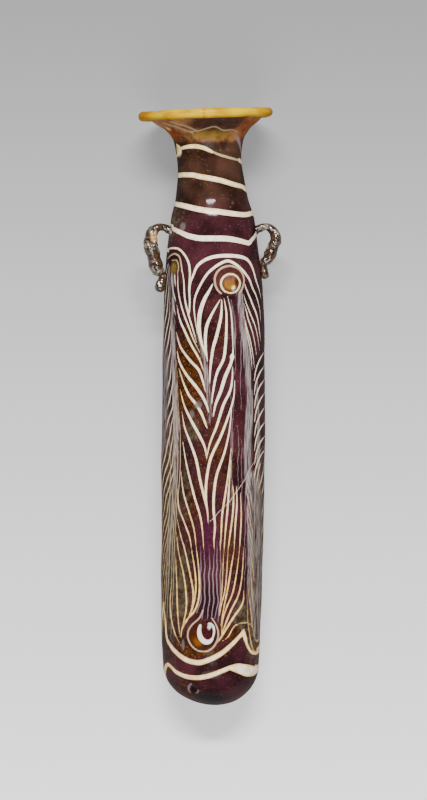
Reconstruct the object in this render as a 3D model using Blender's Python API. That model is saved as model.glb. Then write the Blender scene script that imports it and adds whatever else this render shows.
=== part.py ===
"""Core-formed glass alabastron with two ring handles and a trailed rim.

The vessel is modelled upright along its own +Y axis, front towards +Z, and is then laid on its
back on the plane z = 0. Sizes are in millimetres up to the point where a mesh is made.
"""

import math

import bmesh
import bpy
import numpy as np
from mathutils import Matrix, Vector

MM = 0.001

# Outline of the body and neck: each stretch's length, and the outer radius that it ends at, going up
DOME_LENGTH = 12.0
DOME_RADIUS = 14.1
LOWER_BODY_LENGTH = 7.5
LOWER_BODY_RADIUS = 14.45
BELLY_LENGTH = 64.5
BELLY_RADIUS = 15.2
UPPER_BODY_LENGTH = 35.0
UPPER_BODY_RADIUS = 14.55
SHOULDER_LENGTH = 23.2
SHOULDER_RADIUS = 12.2
NECK_ROOT_LENGTH = 7.0
NECK_ROOT_RADIUS = 10.4
NECK_LENGTH = 9.8
NECK_RADIUS = 9.35

# Rim disc, which spreads from the top of the neck and carries the trail round its edge
THROAT_LENGTH = 6.0
THROAT_SPREAD = 0.75
FLARE_LENGTH = 5.6
DISC_LIP_WIDTH = 1.6
DISC_LIP_LENGTH = 1.5
DISC_THICKNESS = 2.0
RIM_RADIUS = 19.72
TRAIL_RADIUS = 1.42
RIM_LEAN_DEG = 2.0

# Walls of the hollow
WALL = 3.1
BASE_THICKNESS = 4.2
NECK_BORE_RADIUS = 5.3
MOUTH_RADIUS = 6.8
MOUTH_DEPTH = 2.6

# Handles: a tapering trail of glass, looped out from the shoulder, that ends in a knobbed tail
HANDLE_DROP = 2.9
HANDLE_ARCH = 0.9
HANDLE_ROOT_RADIUS = 1.05
HANDLE_TAIL_RADIUS = 1.2
RIGHT_HANDLE_TURN_DEG = 94.0
RIGHT_HANDLE_REACH = 5.9
RIGHT_HANDLE_LOOP = 7.9
RIGHT_HANDLE_BELLY_RADIUS = 1.65
RIGHT_HANDLE_TAIL = 5.3
RIGHT_KNOB_RADIUS = 1.2
LEFT_HANDLE_TURN_DEG = -74.0
LEFT_HANDLE_REACH = 6.2
LEFT_HANDLE_LOOP = 11.2
LEFT_HANDLE_BELLY_RADIUS = 2.05
LEFT_HANDLE_TAIL = 5.4
LEFT_KNOB_RADIUS = 1.6

# Clearance between pieces, and how deep the small flat spots are worn into the resting side
JOIN_GAP = 0.3
FLAT_SPOT_DEPTH = 0.25

# Sideways wander of the hand-made axis at the rim, and its course: (share of height, share of wander)
AXIS_WANDER = -2.05
WANDER_COURSE = (
    (0.0, -0.3),
    (0.023, 0.1),
    (0.12, 0.3),
    (0.21, 0.15),
    (0.35, 0.0),
    (0.62, -0.15),
    (0.83, 0.07),
    (0.89, 0.25),
    (0.93, 0.54),
    (0.97, 0.66),
    (1.0, 1.0),
)

# Facets: sides of each ring, and rings along each stretch
RING_SIDES = 44
TRAIL_SIDES = 12
HANDLE_SIDES = 12
HANDLE_RINGS = 26
DOME_RINGS = 9
BODY_RINGS = 13
SHOULDER_RINGS = 15
THROAT_RINGS = 3
FLARE_RINGS = 8
HOLLOW_FLOOR_RINGS = 5
HOLLOW_BODY_RINGS = 8
HOLLOW_NECK_RINGS = 14


def clear_scene():
    for existing in list(bpy.data.objects):
        bpy.data.objects.remove(existing)


def curve_through(knots, at):
    """The height at one place of a smooth curve through the knots that never overshoots them."""
    x, y = (np.array(column, float) for column in zip(*knots))
    step, rise = np.diff(x), np.diff(y)
    slope = rise / step
    inner = np.where(slope[:-1] * slope[1:] > 0, 2 * slope[:-1] * slope[1:], 0.0)
    total = slope[:-1] + slope[1:]
    inner = np.divide(inner, total, out=np.zeros_like(inner), where=inner != 0)
    tangent = np.concatenate([[slope[0]], inner, [slope[-1]]])
    i = np.clip(np.searchsorted(x, at, side="right") - 1, 0, len(step) - 1)
    t = (at - x[i]) / step[i]
    held = (1 + 2 * t) * (1 - t) ** 2 * y[i] + t * t * (3 - 2 * t) * y[i + 1]
    return float(held + step[i] * t * (1 - t) * ((1 - t) * tangent[i] - t * tangent[i + 1]))


def evenly(low, high, count):
    """Heights from low up to, but not with, high."""
    return np.linspace(low, high, count, endpoint=False)


def disc_edge_radius():
    """The trail lies round the disc, so its size sets the edge."""
    return RIM_RADIUS - 2 * TRAIL_RADIUS - JOIN_GAP


def outline():
    """(height, radius) at the end of each stretch, from the top of the base's dome to the disc's edge."""
    throat = NECK_RADIUS + THROAT_SPREAD
    disc_root = disc_edge_radius() - DISC_LIP_WIDTH
    stretches = (
        (DOME_LENGTH, DOME_RADIUS),
        (LOWER_BODY_LENGTH, LOWER_BODY_RADIUS),
        (BELLY_LENGTH, BELLY_RADIUS),
        (UPPER_BODY_LENGTH, UPPER_BODY_RADIUS),
        (SHOULDER_LENGTH, SHOULDER_RADIUS),
        (NECK_ROOT_LENGTH, NECK_ROOT_RADIUS),
        (NECK_LENGTH, NECK_RADIUS),
        (THROAT_LENGTH, throat),
        (0.66 * FLARE_LENGTH, 0.55 * throat + 0.45 * disc_root),
        (0.34 * FLARE_LENGTH, disc_root),
        (DISC_LIP_LENGTH, disc_edge_radius()),
    )
    lengths, radii = zip(*stretches)
    return list(zip(np.cumsum(lengths), radii))


DOME_TOP, LOWER_BODY, BELLY, UPPER_BODY, SHOULDER, NECK_ROOT, NECK, THROAT = (
    float(height) for height, radius in outline()[:8]
)
DISC_UNDERSIDE = float(outline()[-1][0])
DISC_TOP = DISC_UNDERSIDE + DISC_THICKNESS
TRAIL_HEIGHT = DISC_UNDERSIDE + DISC_THICKNESS / 2
TRAIL_CENTRE_RADIUS = RIM_RADIUS - TRAIL_RADIUS
HANDLE_TOP = SHOULDER - HANDLE_DROP


def outer_profile():
    """(height, radius) from just above the pole of the base up to the underside of the disc's edge."""
    dome = [
        (DOME_LENGTH * (1 - math.cos(a)), DOME_RADIUS * math.sin(a))
        for a in evenly(0, math.pi / 2, DOME_RINGS)[1:]
    ]
    heights = (
        *evenly(DOME_TOP, UPPER_BODY, BODY_RINGS),
        *evenly(UPPER_BODY, NECK, SHOULDER_RINGS),
        *evenly(NECK, THROAT, THROAT_RINGS),
        *evenly(THROAT, DISC_UNDERSIDE, FLARE_RINGS),
        DISC_UNDERSIDE,
    )
    return dome + [(h, curve_through(outline(), h)) for h in heights]


def inner_profile():
    """(height, radius) of the hollow, from the edge of the mouth down to just above its floor."""
    edge = disc_edge_radius()
    mouth_foot = DISC_TOP - MOUTH_DEPTH
    # The mouth is a funnel that rounds over into the neck
    funnel = [
        (DISC_TOP - MOUTH_DEPTH * drop, MOUTH_RADIUS + (edge - MOUTH_RADIUS) * spread)
        for drop, spread in ((0, 1), (0.15, 0.55), (0.5, 0.2), (1, 0))
    ]
    knots = (
        (DOME_TOP, DOME_RADIUS - WALL),
        (BELLY, BELLY_RADIUS - WALL),
        (UPPER_BODY, UPPER_BODY_RADIUS - WALL),
        (SHOULDER - WALL, SHOULDER_RADIUS - WALL),
        (NECK_ROOT, NECK_BORE_RADIUS),
        (NECK, NECK_BORE_RADIUS),
        (mouth_foot, MOUTH_RADIUS),
    )
    heights = (
        *evenly(DOME_TOP, UPPER_BODY, HOLLOW_BODY_RINGS),
        *evenly(UPPER_BODY, mouth_foot, HOLLOW_NECK_RINGS),
    )
    wall = [(h, curve_through(knots, h)) for h in heights[::-1]]
    floor_depth = DOME_LENGTH - BASE_THICKNESS
    floor = [
        (DOME_TOP - floor_depth * math.cos(a), (DOME_RADIUS - WALL) * math.sin(a))
        for a in evenly(math.pi / 2, 0, HOLLOW_FLOOR_RINGS + 1)[1:]
    ]
    return funnel + wall + floor


def axis_centre(height):
    return AXIS_WANDER * curve_through(WANDER_COURSE, np.clip(height / TRAIL_HEIGHT, 0, 1))


def rim_lean(height):
    """The disc leans to one side, and the lean starts at the neck."""
    share = np.clip((height - NECK) / (DISC_UNDERSIDE - NECK), 0, 1)
    return math.radians(RIM_LEAN_DEG) * share


def on_ring(height, radius, angle):
    """A point of the ring at a height: angle 0 faces the front (+Z) and 90 degrees is +X."""
    lean = rim_lean(height)
    aside = radius * math.sin(angle)
    return Vector(
        (
            axis_centre(height) + aside * math.cos(lean),
            height + aside * math.sin(lean),
            radius * math.cos(angle),
        )
    )


def bottom_point(height):
    return Vector((axis_centre(height), height, 0))


def mesh_object(name, mesh, colour, roughness):
    material = bpy.data.materials.new(name + "_glass")
    material.use_nodes = True
    shader = material.node_tree.nodes["Principled BSDF"]
    shader.inputs["Base Color"].default_value = (*colour, 1)
    shader.inputs["Roughness"].default_value = roughness
    shader.inputs["Metallic"].default_value = 0
    mesh.materials.append(material)
    mesh.shade_smooth()
    mesh.set_sharp_from_angle(angle=math.radians(50))
    made = bpy.data.objects.new(name, mesh)
    bpy.context.scene.collection.objects.link(made)
    return made


def skin(name, rings, first_pole, last_pole):
    """A closed mesh over rings of points, one after another, with a fan to a pole at each end."""
    bm = bmesh.new()
    loops = [[bm.verts.new(p * MM) for p in ring] for ring in rings]
    sides = len(loops[0])
    for lower, upper in zip(loops, loops[1:]):
        for i in range(sides):
            j = (i + 1) % sides
            bm.faces.new((lower[i], lower[j], upper[j], upper[i]))
    for pole, loop in ((first_pole, loops[0]), (last_pole, loops[-1])):
        tip = bm.verts.new(pole * MM)
        for i in range(sides):
            bm.faces.new((tip, loop[(i + 1) % sides], loop[i]))
    bmesh.ops.recalc_face_normals(bm, faces=bm.faces)
    mesh = bpy.data.meshes.new(name)
    bm.to_mesh(mesh)
    bm.free()
    return mesh


def turned(name, profile, last_pole_height):
    angles = [2 * math.pi * i / RING_SIDES for i in range(RING_SIDES)]
    rings = [[on_ring(h, r, a) for a in angles] for h, r in profile]
    return skin(name, rings, bottom_point(0), bottom_point(last_pole_height))


def make_vessel():
    mesh = turned("vessel", outer_profile() + inner_profile(), BASE_THICKNESS)
    return mesh_object("vessel", mesh, (0.075, 0.022, 0.032), 0.2)


def make_clearance():
    """The vessel's outer skin, a join gap larger. The handles are cut back with it."""
    profile = [(h, r + JOIN_GAP) for h, r in outer_profile() if h < THROAT]
    helper = bpy.data.objects.new("handle_seat", turned("handle_seat", profile, THROAT))
    bpy.context.scene.collection.objects.link(helper)
    return as_cutter(helper)


def as_cutter(helper):
    helper.hide_render = True
    helper.display_type = "WIRE"
    return helper


def cut(target, cutter):
    modifier = target.modifiers.new("cut by " + cutter.name, "BOOLEAN")
    modifier.operation = "DIFFERENCE"
    modifier.object = cutter


def make_rim_trail():
    """The thread of glass laid round the disc's edge, as a closed ring in the tilted rim plane."""
    rings = []
    for i in range(RING_SIDES):
        around = 2 * math.pi * i / RING_SIDES
        ring = []
        for k in range(TRAIL_SIDES):
            turn = 2 * math.pi * k / TRAIL_SIDES
            radius = TRAIL_CENTRE_RADIUS + TRAIL_RADIUS * math.cos(turn)
            point = on_ring(TRAIL_HEIGHT, radius, around)
            ring.append(point + Vector((0, TRAIL_RADIUS * math.sin(turn), 0)))
        rings.append(ring)
    bm = bmesh.new()
    loops = [[bm.verts.new(p * MM) for p in ring] for ring in rings]
    for i, loop in enumerate(loops):
        after = loops[(i + 1) % RING_SIDES]
        for k in range(TRAIL_SIDES):
            m = (k + 1) % TRAIL_SIDES
            bm.faces.new((loop[k], loop[m], after[m], after[k]))
    bmesh.ops.recalc_face_normals(bm, faces=bm.faces)
    mesh = bpy.data.meshes.new("rim_trail")
    bm.to_mesh(mesh)
    bm.free()
    return mesh_object("rim_trail", mesh, (0.78, 0.42, 0.02), 0.3)


def body_radius_at(height):
    return float(np.interp(height, *zip(*outer_profile())))


class Handle:
    """The sizes of one handle, and its line: points of (out from the axis, height, trail radius)."""

    def __init__(self, turn_deg, reach, loop, belly, tail, knob):
        self.turn = math.radians(turn_deg)
        self.reach, self.loop, self.belly = reach, loop, belly
        self.tail, self.knob = tail, knob

    def line(self):
        foot = HANDLE_TOP - self.loop
        end = foot - self.tail
        wall = body_radius_at(HANDLE_TOP)
        seat = body_radius_at(foot) + JOIN_GAP + HANDLE_TAIL_RADIUS
        knob_seat = body_radius_at(end) + JOIN_GAP + self.knob
        root = HANDLE_ROOT_RADIUS
        return np.array(
            (
                (wall - 1.15 * root, HANDLE_TOP - 0.75 * root, 1.3 * root),
                (wall + 0.45 * self.reach, HANDLE_TOP + HANDLE_ARCH, root),
                (wall + 0.86 * self.reach, HANDLE_TOP - 0.02 * self.loop, 0.8 * self.belly),
                (wall + self.reach, HANDLE_TOP - 0.34 * self.loop, self.belly),
                (wall + 0.86 * self.reach, HANDLE_TOP - 0.66 * self.loop, self.belly),
                (0.45 * (wall + self.reach) + 0.55 * seat, foot, self.belly),
                (seat, foot - 0.4 * self.tail, HANDLE_TAIL_RADIUS),
                (knob_seat, end, self.knob),
            )
        )

    def path(self, steps):
        """The line as a smooth path, read at even steps."""
        knots = self.line()
        lengths = np.linalg.norm(np.diff(knots[:, :2], axis=0), axis=1)
        run = np.concatenate([[0], np.cumsum(lengths)])
        padded = np.vstack([2 * knots[0] - knots[1], knots, 2 * knots[-1] - knots[-2]])
        path = []
        for s in np.linspace(0, run[-1], steps):
            i = min(int(np.searchsorted(run, s, side="right")) - 1, len(run) - 2)
            t = (s - run[i]) / (run[i + 1] - run[i])
            a, b, c, d = padded[i : i + 4]
            cubic = 3 * b - a - 3 * c + d
            path.append(0.5 * (2 * b + (c - a) * t + (2 * a - 5 * b + 4 * c - d) * t**2 + cubic * t**3))
        return np.array(path)

    def ring(self, out, height, radius, side):
        """Points around the trail. side is across it, in the plane of the outward axis and the height."""
        outward = Vector((math.sin(self.turn), 0, math.cos(self.turn)))
        sideways = outward.cross(Vector((0, 1, 0)))
        points = []
        for k in range(HANDLE_SIDES):
            around = 2 * math.pi * k / HANDLE_SIDES
            x, y = Vector((out, height)) + side * radius * math.cos(around)
            foot = Vector((axis_centre(HANDLE_TOP), y, 0))
            points.append(foot + outward * x + sideways * radius * math.sin(around))
        return points


def make_handle(name, handle, seat):
    path = handle.path(HANDLE_RINGS)
    along = [Vector(p[:2]) for p in path]
    rings = []
    for i, (out, height, radius) in enumerate(path):
        ahead = (along[min(i + 1, len(along) - 1)] - along[max(i - 1, 0)]).normalized()
        side = Vector((ahead.y, -ahead.x))
        rings.append(handle.ring(out, height, radius, side))
    # The tail closes over in a half round knob
    for a in np.radians((30, 60, 90)):
        x, y = along[-1] + ahead * radius * math.sin(a)
        rings.append(handle.ring(x, y, radius * math.cos(a), side))
    tip = rings.pop()[0]
    root = sum(rings[0], Vector()) / HANDLE_SIDES
    made = mesh_object(name, skin(name, rings, root, tip), (0.11, 0.055, 0.04), 0.3)
    cut(made, seat)
    return made


def resting_tilt():
    """The angle of the axis above the table when the rim trail and the body both touch it."""
    body = [(h, r) for h, r in outer_profile() if h < THROAT]
    return min(math.atan2(RIM_RADIUS - r, TRAIL_HEIGHT - h) for h, r in body)


def resting_height(tilt):
    """The height of the frame's origin, so that the trail sinks a flat spot's depth into the table."""
    trail_low = TRAIL_CENTRE_RADIUS * math.cos(tilt) + TRAIL_RADIUS
    return trail_low - TRAIL_HEIGHT * math.sin(tilt) - FLAT_SPOT_DEPTH


def make_table_cut():
    """A block whose top is the table. It cuts the small flat spots that the vessel rests on."""
    size, depth = 3 * DISC_TOP * MM, RIM_RADIUS * MM
    bm = bmesh.new()
    placed = Matrix.Translation((0, 0, -depth / 2)) @ Matrix.Diagonal((size, size, depth, 1))
    bmesh.ops.create_cube(bm, size=1, matrix=placed)
    mesh = bpy.data.meshes.new("table_cut")
    bm.to_mesh(mesh)
    bm.free()
    block = bpy.data.objects.new("table_cut", mesh)
    bpy.context.scene.collection.objects.link(block)
    return as_cutter(block)


def lay_down(pieces):
    """Parents the pieces to one empty that lays them on the table, centred on the origin."""
    lying = bpy.data.objects.new("lying", None)
    bpy.context.scene.collection.objects.link(lying)
    for piece in pieces:
        piece.parent = lying
    tilt = resting_tilt()
    lying.rotation_euler = (tilt, 0, 0)
    lying.location = (0, 0, resting_height(tilt) * MM)
    bpy.context.view_layer.update()
    corners = [p.matrix_world @ v.co for p in pieces if not p.hide_render for v in p.data.vertices]
    for axis in (0, 1):
        low, high = (f(c[axis] for c in corners) for f in (min, max))
        lying.location[axis] = -(low + high) / 2


def main():
    clear_scene()
    table = make_table_cut()
    seat = make_clearance()
    vessel = make_vessel()
    trail = make_rim_trail()
    right = Handle(
        RIGHT_HANDLE_TURN_DEG,
        RIGHT_HANDLE_REACH,
        RIGHT_HANDLE_LOOP,
        RIGHT_HANDLE_BELLY_RADIUS,
        RIGHT_HANDLE_TAIL,
        RIGHT_KNOB_RADIUS,
    )
    left = Handle(
        LEFT_HANDLE_TURN_DEG,
        LEFT_HANDLE_REACH,
        LEFT_HANDLE_LOOP,
        LEFT_HANDLE_BELLY_RADIUS,
        LEFT_HANDLE_TAIL,
        LEFT_KNOB_RADIUS,
    )
    handles = [make_handle("right_handle", right, seat), make_handle("left_handle", left, seat)]
    lay_down([vessel, trail, *handles, seat])
    for piece in (vessel, trail):
        cut(piece, table)


main()
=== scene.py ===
import math

import bpy
import numpy as np
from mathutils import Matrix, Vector, noise


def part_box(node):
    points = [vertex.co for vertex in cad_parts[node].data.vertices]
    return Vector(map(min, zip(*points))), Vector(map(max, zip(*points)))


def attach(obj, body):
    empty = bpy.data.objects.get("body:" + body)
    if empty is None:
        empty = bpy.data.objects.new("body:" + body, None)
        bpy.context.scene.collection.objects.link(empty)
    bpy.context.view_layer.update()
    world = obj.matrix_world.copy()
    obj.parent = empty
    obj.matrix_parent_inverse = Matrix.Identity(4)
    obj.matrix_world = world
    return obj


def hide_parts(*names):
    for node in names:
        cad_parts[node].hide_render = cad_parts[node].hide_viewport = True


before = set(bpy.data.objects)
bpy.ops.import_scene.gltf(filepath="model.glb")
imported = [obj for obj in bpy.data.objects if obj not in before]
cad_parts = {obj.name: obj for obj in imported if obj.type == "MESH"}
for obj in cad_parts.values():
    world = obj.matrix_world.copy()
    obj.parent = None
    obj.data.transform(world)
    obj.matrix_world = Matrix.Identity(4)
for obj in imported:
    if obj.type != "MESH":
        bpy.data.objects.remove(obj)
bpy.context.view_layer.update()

# The flask lies on its back. Its own frame has +Y up the flask from its base, +Z to its front and +X to
# its right, in millimetres, and lying() turns that into the frame's metres.

MM = 0.001

# Sizes of the vessel, as in the part's source. A pair is (height, outer radius) at the end of a stretch
DOME_LENGTH = 12.0
DOME_RADIUS = 14.1
FOOT_END = (19.5, 14.45)
BELLY = (84.0, 15.2)
UPPER_BODY = (119.0, 14.55)
SHOULDER = (142.2, 12.2)
NECK_ROOT = (149.2, 10.4)
NECK = 159.0
THROAT = 165.0
FLARE = 168.7
DISC_ROOT = 170.6
DISC_UNDERSIDE = 172.1
DISC_TOP = 174.1
RIM_RADIUS = 19.72
TRAIL_RADIUS = 1.42
DISC_EDGE_RADIUS = 16.58
BASE_THICKNESS = 4.2
WALL = 3.1
NECK_BORE_RADIUS = 5.3
MOUTH_RADIUS = 6.8
MOUTH_DEPTH = 2.6
RIM_LEAN_DEG = 2.0
FLAT_SPOT_DEPTH = 0.25
TRAIL_HEIGHT = (DISC_UNDERSIDE + DISC_TOP) / 2
OUTLINE = (
    (DOME_LENGTH, DOME_RADIUS),
    FOOT_END,
    BELLY,
    UPPER_BODY,
    SHOULDER,
    NECK_ROOT,
    (NECK, 9.35),
    (THROAT, 10.1),
    (FLARE, 12.3),
    (DISC_ROOT, 14.98),
    (DISC_UNDERSIDE, DISC_EDGE_RADIUS),
)

# The axis wanders aside: how far in all, and the share of it at each share of the height
AXIS_WANDER = -2.05
WANDER_COURSE = (
    (0.0, -0.3),
    (0.023, 0.1),
    (0.12, 0.3),
    (0.21, 0.15),
    (0.35, 0.0),
    (0.62, -0.15),
    (0.83, 0.07),
    (0.89, 0.25),
    (0.93, 0.54),
    (0.97, 0.66),
    (1.0, 1.0),
)

# The camera looks straight down at the lying flask, from the photograph's distance
CAMERA_PLACE = (0.00108, 0.00184, 1.5)
CAMERA_LENS = 227.9
SENSOR = 36.0
IMAGE_WIDTH = 427
IMAGE_HEIGHT = 800
FOCAL_PIXELS = CAMERA_LENS / SENSOR * IMAGE_HEIGHT

# Facets of the fine mesh: columns on the front and on the rest, and rings per stretch
FRONT_SPREAD = math.radians(76)
FRONT_COLUMNS = 168
BACK_COLUMNS = 76
BODY_RINGS = 256
BODY_RINGS_TO = 140.0
NECK_RINGS = 42
FLARE_RINGS = 40
FLARE_RINGS_FROM = 163.0
DOME_RINGS = 30
HOLLOW_RINGS = 20


def curve_through(knots, at):
    """The height at one or more places of a smooth curve through the knots that never overshoots them."""
    x, y = (np.array(column, float) for column in zip(*knots))
    at = np.asarray(at, float)
    step, rise = np.diff(x), np.diff(y)
    slope = rise / step
    inner = np.where(slope[:-1] * slope[1:] > 0, 2 * slope[:-1] * slope[1:], 0.0)
    total = slope[:-1] + slope[1:]
    inner = np.divide(inner, total, out=np.zeros_like(inner), where=inner != 0)
    tangent = np.concatenate([[slope[0]], inner, [slope[-1]]])
    i = np.clip(np.searchsorted(x, at, side="right") - 1, 0, len(step) - 1)
    t = (at - x[i]) / step[i]
    held = (1 + 2 * t) * (1 - t) ** 2 * y[i] + t * t * (3 - 2 * t) * y[i + 1]
    return held + step[i] * t * (1 - t) * ((1 - t) * tangent[i] - t * tangent[i + 1])


def outer_radius(height):
    """The smooth outer radius, with the base as half an ellipse."""
    height = np.asarray(height, float)
    share = np.clip(1 - height / DOME_LENGTH, 0, 1)
    dome = DOME_RADIUS * np.sqrt(1 - share * share)
    return np.where(height < DOME_LENGTH, dome, curve_through(OUTLINE, height))


def axis_centre(height):
    """How far the axis lies to the right of the base's middle."""
    return AXIS_WANDER * curve_through(WANDER_COURSE, np.clip(np.asarray(height) / TRAIL_HEIGHT, 0, 1))


def rim_lean(height):
    """How far the flask's rings lean to one side, from none at the neck to the rim's whole lean."""
    share = np.clip((np.asarray(height) - NECK) / (DISC_UNDERSIDE - NECK), 0, 1)
    return math.radians(RIM_LEAN_DEG) * share


def on_ring(height, radius, angle):
    """Points of rings, in the flask's own frame: angle 0 faces the front and 90 degrees is +X."""
    lean = rim_lean(height)
    aside = radius * np.sin(angle)
    x = axis_centre(height) + aside * np.cos(lean)
    y = height + aside * np.sin(lean)
    return np.stack([x, y, radius * np.cos(angle)], axis=-1)


def resting_tilt():
    """How far the axis is tipped where the flask lies on its belly and its rim."""
    heights = np.linspace(DOME_LENGTH, NECK, 400)
    return float(np.min(np.arctan2(RIM_RADIUS - outer_radius(heights), TRAIL_HEIGHT - heights)))


TILT = resting_tilt()
TRAIL_CENTRE_RADIUS = RIM_RADIUS - TRAIL_RADIUS
REST_HEIGHT = (
    TRAIL_CENTRE_RADIUS * math.cos(TILT) + TRAIL_RADIUS - TRAIL_HEIGHT * math.sin(TILT) - FLAT_SPOT_DEPTH
)


def tipped(points):
    """Turns points of the flask's own frame onto the table, still in millimetres."""
    x, y, z = np.moveaxis(np.asarray(points, float), -1, 0)
    across = y * math.cos(TILT) - z * math.sin(TILT)
    up = y * math.sin(TILT) + z * math.cos(TILT) + REST_HEIGHT
    return np.stack([x, across, up], axis=-1)


def find_offset():
    """Where the frame's vessel lies in x and y, against the outline's own place."""
    low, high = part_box("vessel")
    angles = np.linspace(0, 2 * math.pi, 361)
    heights = np.concatenate([np.linspace(0.02, DISC_UNDERSIDE, 900), [DISC_TOP]])
    radii = np.concatenate([outer_radius(heights[:-1]), [DISC_EDGE_RADIUS]])
    points = tipped(on_ring(heights[:, None], radii[:, None], angles[None, :])).reshape(-1, 3)
    middle = (points.min(0) + points.max(0)) / 2
    return [(low[i] + high[i]) / 2 / MM - middle[i] for i in (0, 1)]


OFFSET = find_offset()


def lying(points):
    """The frame's metres for points of the flask's own frame."""
    placed = tipped(points)
    placed[..., 0] += OFFSET[0]
    placed[..., 1] += OFFSET[1]
    placed[..., 2] = np.maximum(placed[..., 2], 0)
    return placed * MM


# Reading a place on the photograph onto the glass: the first guess at how high the glass lies, in
# millimetres, and how often it is bettered
FIRST_LEVEL = 30.0
BETTERED = 12


def on_glass(columns, rows):
    """(angle, height) on the vessel's outer skin of pixels of the photograph."""
    columns, rows = np.asarray(columns, float), np.asarray(rows, float)
    eye = [place / MM for place in CAMERA_PLACE]
    level = np.full(columns.shape, FIRST_LEVEL)
    for _ in range(BETTERED):
        scale = (eye[2] - level) / FOCAL_PIXELS
        x = eye[0] + (columns - IMAGE_WIDTH / 2) * scale - OFFSET[0]
        y = eye[1] + (IMAGE_HEIGHT / 2 - rows) * scale - OFFSET[1]
        up = level - REST_HEIGHT
        height = np.clip(y * math.cos(TILT) + up * math.sin(TILT), 0.05, DISC_UNDERSIDE)
        radius = outer_radius(height)
        aside = np.clip((x - axis_centre(height)) / radius, -0.998, 0.998)
        front = radius * np.sqrt(1 - aside * aside)
        level = height * math.sin(TILT) + front * math.cos(TILT) + REST_HEIGHT
    return np.arcsin(aside), height


def pixel_course(points):
    """A line drawn through pixels of the photograph, as (angle, height) arrays."""
    columns, rows = zip(*points)
    return on_glass(columns, rows)


# Pattern of the threads: wound round in a helix, then combed up and down through the soft glass

# Distance round the body, and the comb's pull: how far it reaches, its point's radius and each step
UNROLLED = 95.0
COMB_REACH = 5.0
COMB_POINT = 0.35
COMB_STEP = 0.6


def wrap(u):
    """The shorter way round, for a distance round the body."""
    return (u + UNROLLED / 2) % UNROLLED - UNROLLED / 2


def at_height(knots, z):
    """What (height, value) knots come to at each height z."""
    heights, values = zip(*sorted(knots))
    return np.interp(z, heights, values)


def row_height(row):
    """Height on the flask of a row of the photograph, near its middle line."""
    return float(on_glass(IMAGE_WIDTH / 2, row)[1])


# Each upward stroke of the comb: (photograph's row, degrees round from the front)
UP_STROKES = {
    "front": (
        (283, 24), (329, 29), (348, 31.5), (373, 31.5), (391, 29), (421, 27), (469, 27), (530, 34),
        (590, 41), (668, 42),
    ),
    "left": ((265, -55), (345, -51), (373, -46), (420, -44), (500, -50), (600, -60), (668, -66)),
    "right": ((275, 100), (655, 98)),
    "back_right": ((280, 168), (655, 165)),
    "back_left": ((280, -124), (655, -122)),
}

# Each downward stroke
DOWN_STROKES = {
    "front": ((262, -28), (284, -28), (315, -24), (338, -11), (373, -8), (421, -5), (426, -5)),
    "front_low": ((462, -7), (496, -8), (530, -4), (600, -4), (634, -8)),
    "right": ((265, 70), (290, 68), (340, 53), (373, 50), (440, 50), (530, 57), (634, 67)),
    "left": ((280, -88), (634, -84)),
    "back_right": ((280, 133), (634, 131)),
    "back_left": ((280, -160), (634, -158)),
}

# Strokes that pull further, or less far, than the others
REACHES = {"up front": 6.0, "up left": 4.5, "down front": 4.5}

# Plain glass drawn along behind the comb's point: (row, half width in mm)
PLAIN_LINES = {
    "up front": ((690, 0.0), (650, 0.2), (600, 0.3), (480, 0.55), (300, 0.6), (283, 0.5)),
    "down front_low": ((634, 1.2), (612, 2.0), (590, 3.0), (540, 3.0), (505, 1.2), (480, 0.0)),
}

# Turns of the thread before it was combed: (photograph's row at the front, number of the turn)
WINDING = (
    (151, 0), (178.5, 1), (211, 2), (238, 3), (262, 4), (280, 5), (600, 22), (663, 25), (678, 26), (720, 28),
)

# The comb passed only through these turns, and the ones above and below them are drawn one by one
SHOWN_TURNS = (4.0, 24.4)


def stroke_knots(stroke):
    """(height, distance round the body) along a stroke of the comb."""
    return [(row_height(row), degrees * UNROLLED / 360) for row, degrees in stroke]


def before_stroke(u, z, knots, upward, reach):
    """Where each point lay before the comb's point was drawn along the knots through the soft glass."""
    heights = [height for height, _ in knots]
    low, high = min(heights), max(heights)
    stops = np.linspace(low, high, int((high - low) / COMB_STEP) + 1)
    if upward:
        stops = stops[::-1]
    for here, back in zip(stops, stops[1:]):
        u_here, u_back = at_height(knots, here), at_height(knots, back)
        move = np.array([u_here - u_back, here - back])
        length = np.hypot(*move)
        way = move / length
        near = np.abs(z - here) < 6 * reach
        du, dz = wrap(u[near] - u_here), z[near] - here
        across = du * way[1] - dz * way[0]
        along = du * way[0] + dz * way[1]
        gap = np.hypot(along, across) + 1e-6
        pull = length * np.exp(-np.maximum(gap - COMB_POINT, 0) / reach)
        forward = pull * (1 - across**2 / (gap * reach))
        aside = pull * across * along / (gap * reach)
        u[near] -= forward * way[0] + aside * way[1]
        z[near] -= forward * way[1] - aside * way[0]
    return u, z


def before_plain_line(u, z, knots, widths):
    """Takes out the plain glass that lies along a stroke. Returns how deep each point lies in it."""
    heights = [height for height, _ in knots]
    middle = at_height(knots, z)
    rows, sizes = zip(*widths)
    half = at_height(list(zip([row_height(row) for row in rows], sizes)), z)
    half = np.where((z < min(heights)) | (z > max(heights)), 0, half)
    off = wrap(u - middle)
    kept = np.sign(off) * np.sqrt(np.maximum(off * off - half * half, 0))
    return middle + kept, half - np.abs(off)


def before_drop(u, z, centre, radius):
    """Takes out a round drop of glass that pushed its surroundings aside."""
    du, dz = wrap(u - centre[0]), z - centre[1]
    gap = np.hypot(du, dz) + 1e-9
    share = np.sqrt(np.maximum(gap * gap - radius * radius, 0)) / gap
    return centre[0] + du * share, centre[1] + dz * share


def drop_centre(column, row):
    """(distance round the body, height) of a drop's middle."""
    angle, height = on_glass(column, row)
    return float(angle) / (2 * math.pi) * UNROLLED, float(height)


# Drops of glass laid on, which the comb's strokes start or end in: (photograph's column and row, radius)
DROPS = {
    "top_eye": ((230.5, 283.0), 3.9),
    "foot_eye": ((203.5, 635.5), 4.6),
    "side_eye": ((174.0, 265.0), 2.0),
}
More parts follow.
